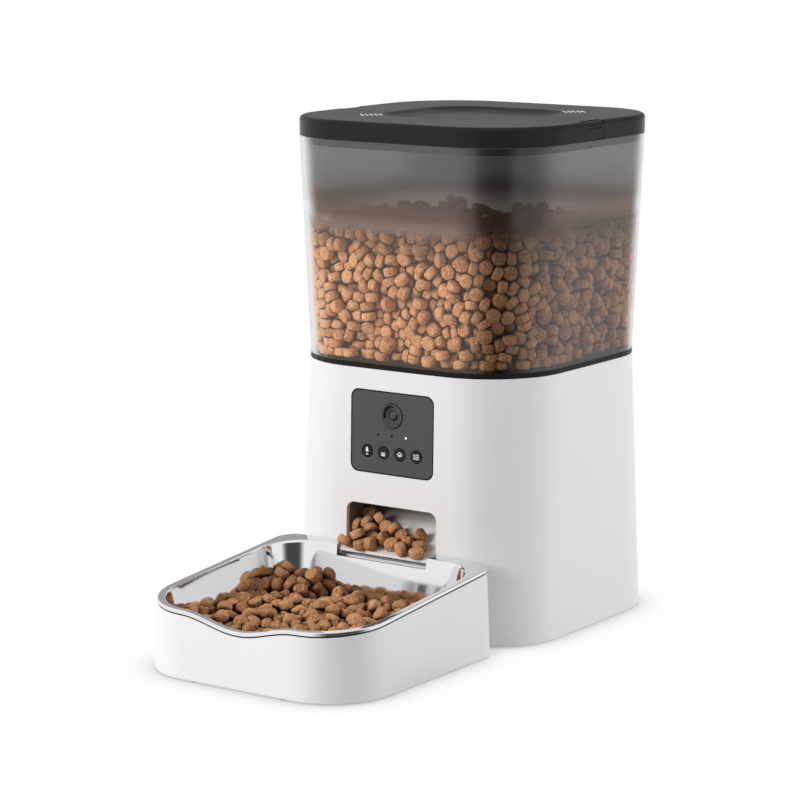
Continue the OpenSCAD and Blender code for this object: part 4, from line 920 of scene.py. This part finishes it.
def kibble_mesh(name, places, draw, segments=14):
    """All pieces of one heap as one mesh, each with its own small irregularity and shade."""
    rows = kibble_profile(7, 0.42)
    points, faces, shades = [], [], []
    for place in places:
        faces += ring_faces(segments, len(rows), start=len(points))
        wide, tall = draw.uniform(0.93, 1.04), draw.uniform(0.88, 1.06)
        two, three, lean = draw.uniform(0, 6.28), draw.uniform(0, 6.28), draw.uniform(-0.12, 0.12)
        for r, h in rows:
            for a in full_turn(segments):
                reach = r * wide * (1 + 0.035 * sin(2 * a + two) + 0.025 * sin(3 * a + three))
                spot = place @ Vector((reach * cos(a) + lean * h, reach * sin(a), h * tall))
                points.append(tuple(spot))
        shades += [draw.uniform(0, 1)] * (segments * len(rows))
    obj = mesh_object(name, points, faces)
    shade = obj.data.attributes.new("shade", "FLOAT", "POINT")
    shade.data.foreach_set("value", shades)
    return obj


def prisms(low, high):
    """Convex blocks behind each piece of a wall that runs between two rings."""
    n = len(low)
    blocks = []
    for j in range(n):
        k = (j + 1) % n
        along = Vector(low[k]) - Vector(low[j])
        out = Vector((along.y, -along.x, 0)).normalized() * WALL_BACK
        face = [Vector(low[j]), Vector(low[k]), Vector(high[k]), Vector(high[j])]
        blocks.append(face + [p + out for p in face])
    return blocks


def pour(starts, walls, frames, friction, grip=0.4):
    """Lets discs fall between convex blocks and gives their places when they lie still."""
    if not full_detail:
        return [Matrix.Translation(spot) @ turn.to_matrix().to_4x4() for spot, turn in starts]
    room = bpy.data.collections.new("pour")
    scene.collection.children.link(room)
    bpy.ops.rigidbody.world_add()
    world = scene.rigidbody_world
    world.collection = room
    world.substeps_per_frame = SUBSTEPS
    world.solver_iterations = SOLVER_STEPS
    world.point_cache.frame_end = frames
    gravity = scene.gravity.copy()
    scene.gravity = (0, 0, -9.81 * SIM_SCALE)
    size = MM * SIM_SCALE

    def body(name, mesh, kind, place):
        obj = bpy.data.objects.new(name, mesh)
        obj.matrix_world = place
        room.objects.link(obj)
        rigid = obj.rigid_body
        rigid.type = kind
        rigid.collision_shape = "CONVEX_HULL"
        rigid.use_margin = True
        rigid.collision_margin = SIM_MARGIN
        rigid.friction = friction
        rigid.linear_damping, rigid.angular_damping = SIM_DRAG, grip
        return obj

    meshes = []
    for points in walls:
        mesh = bpy.data.meshes.new("wall")
        mesh.from_pydata([p * size for p in points], [], [])
        meshes.append(mesh)
        body("wall", mesh, "PASSIVE", Matrix.Identity(4))
    disc = bpy.data.meshes.new("disc")
    disc.from_pydata([(r * size * cos(a), r * size * sin(a), h * size)
                      for r, h in kibble_profile(3, 0.5) for a in full_turn(10)], [], [])
    meshes.append(disc)
    discs = [body("disc", disc, "ACTIVE", Matrix.Translation(spot * size) @ turn.to_matrix().to_4x4())
             for spot, turn in starts]
    for f in range(1, frames + 1):
        scene.frame_set(f)
    deps = bpy.context.evaluated_depsgraph_get()
    places = []
    for obj in discs:
        place = obj.evaluated_get(deps).matrix_world
        spot = place.to_translation() / size
        places.append(Matrix.Translation(spot) @ place.to_quaternion().to_matrix().to_4x4())
    bpy.ops.rigidbody.world_remove()
    for obj in list(room.objects):
        bpy.data.objects.remove(obj)
    for mesh in meshes:
        bpy.data.meshes.remove(mesh)
    bpy.data.collections.remove(room)
    scene.gravity = gravity
    scene.frame_set(1)
    return places


def any_turn(draw):
    return Euler(draw.uniform(0, 2 * pi, 3))


def inside_tank(x, y, z, margin):
    h, q = tank_half(z) - TANK_WALL, tank_r(z) - TANK_WALL
    dx, dy = abs(x) - (h - q), abs(y) - (h - q)
    if dx > 0 and dy > 0:
        return hypot(dx, dy) < q - margin
    return max(abs(x), abs(y)) < h - margin


def spaced(ring, pitch):
    """Points at one distance along a closed ring."""
    spots, gone = [], 0.0
    for a, b in zip(ring, ring[1:] + ring[:1]):
        a, b = Vector(a), Vector(b)
        length = (b - a).length
        while gone < length:
            spots.append(a.lerp(b, gone / length))
            gone += pitch
        gone -= length
    return spots[:-1]


def box_points(x0, x1, y0, y1, z0, z1):
    return [Vector((x, y, z)) for z in (z0, z1) for x, y in ((x0, y0), (x1, y0), (x1, y1), (x0, y1))]


PITCH = 2.3 * KIBBLE_R
CORE_IN = TANK_WALL + 16
TANK_LAYERS, FALL_TOP, FIRST_LAYER = 31, 360, 7
food_floor = seam_z + 1


def tank_food():
    """Discs at the walls, a core that stands in for the food behind them, and a layer on the core."""
    draw = np.random.default_rng(11)
    starts = []
    for layer in range(TANK_LAYERS):
        ring = tank_ring(food_floor + FIRST_LAYER + PITCH * layer, (TANK_WALL + CORE_IN) / 2)
        starts += [(spot, any_turn(draw)) for spot in spaced(ring, PITCH)]
    coarse = {"sides": 2, "arc": 5}
    low, high, near = food_floor - 5, seam_z + FALL_TOP, TANK_WALL + 0.4
    walls = prisms(tank_ring(low, near, **coarse), tank_ring(high, near, **coarse))
    walls.append(box_points(-SIM_FAR, SIM_FAR, -SIM_FAR, SIM_FAR, food_floor - WALL_BACK, food_floor))
    walls.append([Vector(p) for z in (low, high) for p in tank_ring(z, CORE_IN, **coarse)])
    places = pour(starts, walls, 40, 0.4)
    kept = []
    for place in places:
        spot, normal = place.to_translation(), place.to_quaternion() @ Vector((0, 0, 1))
        level = hypot(normal.x, normal.y)
        reach = KIBBLE_R * sqrt(max(0.0, 1 - level * level)) + KIBBLE_H * level
        top = FOOD_TOP + draw.uniform(-6, 1)
        if food_floor < spot.z < top and inside_tank(spot.x, spot.y, spot.z, max(3.2, reach * 0.5)):
            kept.append(place)
    heights = sorted(place.to_translation().z for place in kept)
    core_top = heights[-len(heights) // 20] - 2 * KIBBLE_R
    for x in np.arange(-tank_hi.x, tank_hi.x, PITCH * 0.8):
        for y in np.arange(-tank_hi.x, tank_hi.x, PITCH * 0.8):
            spot = Vector((x, y, core_top + draw.uniform(0, 4)))
            lean = Euler((draw.uniform(-0.7, 0.7), draw.uniform(-0.7, 0.7), 0))
            if inside_tank(x, y, core_top, CORE_IN - TANK_WALL):
                kept.append(Matrix.Translation(spot) @ lean.to_matrix().to_4x4())
    return kept, core_top, draw


places, core_top, draw = tank_food()
dress(kibble_mesh("tank_kibble", places, draw), "tank", "paper", material="kibble_tank", sharp=60)
core_rings = []
for inset, low in ((0, core_top - food_floor), (0, 10), (3, 5), (9, 2), (20, 0)):
    core_rings.append(tank_ring(core_top - low, CORE_IN + inset))
core = loft("tank_kibble_core", core_rings)
# Painted shade: the core takes the darkened copy of the food colour.
dress(core, "tank", "paper", material="kibble_deep")


def bowl_food():
    """A steep stack in the left rear corner and an even fill round it, each poured round the other."""
    draw = np.random.default_rng(5)
    front = tray_front_y + TRAY_DRAFT + FLANGE_W + BOWL_DRAFT + 12
    back = tray_back_y - FLANGE_BACK_W - BOWL_DRAFT
    coarse = {"sides": 3, "arc": 4}
    low, knee = bowl_plan(BOWL_DRAFT + BOWL_ROUND * 0.7, **coarse), bowl_plan(BOWL_DRAFT, **coarse)
    high = bowl_plan(-BOWL_DRAFT, **coarse)
    knee_z, wall_z = bowl_floor_z + BOWL_ROUND * 0.7, 62
    walls = prisms(flat_ring(low, bowl_floor_z - 1), flat_ring(knee, knee_z))
    walls += prisms(flat_ring(knee, knee_z), flat_ring(high, wall_z))
    walls.append(box_points(-SIM_FAR, SIM_FAR, -300, -50, bowl_floor_z - WALL_BACK, bowl_floor_z + 0.1))

    def wedge(x0, x1, y0, y1, top_x0, top_x1, top_y0, top_y1, top_z):
        foot = [Vector((x, y, bowl_floor_z)) for x in (x0, x1) for y in (y0, y1)]
        return foot + [Vector((x, y, top_z)) for x in (top_x0, top_x1) for y in (top_y0, top_y1)]

    def layers(count, low, spots):
        starts = []
        for layer in range(count):
            z = bowl_floor_z + low + PITCH * layer
            for x, y in spots:
                spot = Vector((x + draw.uniform(-1, 1), y + draw.uniform(-1, 1), z))
                starts.append((spot, any_turn(draw)))
        return starts

    def in_corner(x, y):
        return x < right and y > ahead

    right, ahead, lean = -36, back - 36, 13
    stack = layers(15, 14, [(x, y) for x in (-53, -43) for y in (back - 29, back - 19)])
    far, near, top = back + 60, front - 60, wall_z + 60
    keep_out = [wedge(right, 90, near, far, right - lean, 90, near, far, top),
                wedge(-90, 90, near, ahead, -90, 90, near, ahead + lean, top)]
    spots = [(x, y) for x in np.arange(-58, 60, PITCH) for y in np.arange(front, back - 8, PITCH)]
    heap = layers(5, 8, [spot for spot in spots if not in_corner(*spot)])
    loose = ((-12, 13), (8, 10), (27, 14))
    heap += [(Vector((x, back - y, wall_z + 20)), any_turn(draw)) for x, y in loose]
    stood = wedge(-90, right - 2, ahead + 2, far, -90, right - lean - 2, ahead + lean + 2, far, top)
    stack = pour(stack, walls + keep_out, 44, 1.0, 0.9)
    heap = pour(heap, walls + [stood], 40, 1.0, 0.9)
    kept = []
    side = tray_half - TRAY_DRAFT - FLANGE_W - KIBBLE_R
    for places, corner in ((stack, True), (heap, False)):
        for place in places:
            x, y, z = place.to_translation()
            inside = abs(x) < side and front - 12 < y < back and bowl_floor_z < z < rim_z(x, y) + 4
            if inside and in_corner(x, y) == corner:
                kept.append(place)
    return kept, draw


places, draw = bowl_food()
dress(kibble_mesh("bowl_kibble", places, draw), "bowl", "paper", material="kibble", sharp=60)


def outlet_food():
    """Pieces that slide down the chute's floor towards its lip."""
    draw = np.random.default_rng(3)
    starts = []
    rows = ((-92, 62, -8), (-84, 66, -1), (-75, 72, 8), (-66, 79, 12), (-58, 84, 30), (-80, 79, 6))
    for row, (y, z, right) in enumerate(rows):
        for x in np.arange(-28 + 4 * (row % 2), right, PITCH):
            starts.append((Vector((x, y, z)), any_turn(draw)))
    top_y, top_z, end_y, end_z = -26, 97, -85, 55.5
    half = OUTLET_W / 2 - 0.5

    def slope(y0, z0, y1, z1, depth=30):
        edges = ((-half, y0, z0), (half, y0, z0), (half, y1, z1), (-half, y1, z1))
        return [Vector((x, y, z - down)) for down in (0, depth) for x, y, z in edges]

    walls = [
        slope(top_y, top_z, end_y, end_z),
        slope(end_y, end_z, lip_y, lip_z),
        box_points(-half - 30, -half, -110, -20, 20, 120),
        box_points(half, half + 30, -110, -20, 20, 120),
        box_points(-60, 60, lip_y - 34, lip_y - 4, 20, lip_z + 3),
    ]
    places = pour(starts, walls, 9, 1.0, 0.9)
    kept = [p for p in places if p.to_translation().z > lip_z and p.to_translation().y > lip_y - 4]
    return kept, draw


places, draw = outlet_food()
dress(kibble_mesh("outlet_kibble", places, draw), "base", "paper", material="kibble", sharp=60)


# Stage
WHITE, BLACK = (1, 1, 1, 1), (0, 0, 0, 1)
SKY_LIGHT, LAMP_AIM = 0.27, 0.14
DARK_SECTOR = Vector((0.62, -0.77, 0.12))
SECTOR_EDGE, SECTOR_CORE, SECTOR_TOP, SECTOR_FULL, SECTOR_DARK = 34, 14, 13, 8, 0.93
REAR_FROM, REAR_TO, REAR_DARK = 0.1, 0.7, 0.6
FLOOR_R, FLOOR_N, FLOOR_GREY, FLOOR_EDGE, FLOOR_CORE = 6.0, 64, 0.62, 32, 12
FADE_FROM, FADE_TO, FADE_LOW = 0.15, 0.5, 0.97
SHADOW_REACH, SHADOW_DEPTH, SHADOW_MOST = 0.02, 1.2, 0.4


def cosine(degrees):
    return cos(radians(degrees))


def white_to_camera(net, shader, plain):
    """Mixes a white emission over a shader for rays that show the background."""
    rays = net.add("ShaderNodeLightPath").outputs
    seen = net.most(net.most(rays["Is Camera Ray"], rays["Is Glossy Ray"]), rays["Is Transmission Ray"])
    return net.layer(seen, shader, plain)


def mirrored_dark(net, amount):
    """White that is dark where it is mirrored."""
    mirrored = net.add("ShaderNodeLightPath").outputs["Is Glossy Ray"]
    return net.blend(net.times(amount, mirrored), WHITE, BLACK)


def make_world():
    """Dim light all round; what is seen and mirrored is white, but for a dark sector without lamps."""
    world = bpy.data.worlds.new("studio")
    scene.world = world
    world.use_nodes = True
    net = Nodes(world.node_tree)
    dim = net.fill(net.tree.nodes["Background"], Color=WHITE, Strength=SKY_LIGHT)
    way = net.add("ShaderNodeTexCoord").outputs["Generated"]
    part = net.split(way)
    towards = net.vector("DOT_PRODUCT", way, DARK_SECTOR.normalized())
    across = net.ease(towards, cosine(SECTOR_EDGE), cosine(SECTOR_CORE), high=SECTOR_DARK)
    upwards = net.ease(part["Z"], cosine(90 - SECTOR_TOP), cosine(90 - SECTOR_FULL))
    rear = net.ease(part["Y"], REAR_FROM, REAR_TO, high=REAR_DARK)
    tone = mirrored_dark(net, net.most(net.times(across, upwards), rear))
    white = net.add("ShaderNodeBackground", Color=tone, Strength=1.0)
    sky = white_to_camera(net, dim.outputs[0], white.outputs[0])
    net.fill(net.tree.nodes["World Output"], Surface=sky)


def make_floor():
    """White floor with a painted contact shadow from ambient occlusion, which lets the lamps' shadows show
    faintly near the part.
    """
    points = [(FLOOR_R / MM * cos(a), FLOOR_R / MM * sin(a), 0) for a in full_turn(FLOOR_N)]
    floor = mesh_object("floor", points, [tuple(range(FLOOR_N))])
    net = Shader("floor", Base_Color=grey(FLOOR_GREY), Roughness=0.9, Specular_IOR_Level=0.0)
    level = Vector((DARK_SECTOR.x, DARK_SECTOR.y, 0)).normalized()
    towards = net.vector("DOT_PRODUCT", net.vector("NORMALIZE", net.place), level)
    dark = net.ease(towards, cosine(FLOOR_EDGE), cosine(FLOOR_CORE), high=SECTOR_DARK)
    # Painted contact shadow: ambient occlusion darkens the white where the part is close.
    hidden = net.math("SUBTRACT", 1.0, net.closeness(SHADOW_REACH).outputs["AO"])
    shadow = net.times(net.math("POWER", hidden, 2.0), SHADOW_DEPTH)
    tone = net.blend(net.math("MINIMUM", shadow, SHADOW_MOST), mirrored_dark(net, dark), BLACK)
    white = net.add("ShaderNodeEmission", Color=tone, Strength=1.0)
    bare = net.bsdf.outputs[0]
    far = white_to_camera(net, bare, white.outputs[0])
    fade = net.ease(net.vector("LENGTH", net.place), FADE_FROM, FADE_TO, low=FADE_LOW)
    net.fill(net.tree.nodes["Material Output"], Surface=net.layer(fade, bare, far))
    floor.data.materials.append(net.material)


def lamp(name, place, size, power):
    light = bpy.data.lights.new(name, "AREA")
    light.shape = "RECTANGLE"
    light.size, light.size_y = size
    light.energy = power
    obj = place_object(name, light)
    obj.location = place
    target = Vector((0, axis_y * MM, LAMP_AIM))
    obj.rotation_euler = (target - Vector(place)).to_track_quat("-Z", "Y").to_euler()
    obj.visible_glossy = False


make_world()
make_floor()
lamp("key", (-1.2, -2.0, 1.05), (1.0, 1.3), 50)
lamp("side", (1.9, 1.0, 0.9), (0.9, 1.4), 29)

scene.view_settings.view_transform = "Standard"
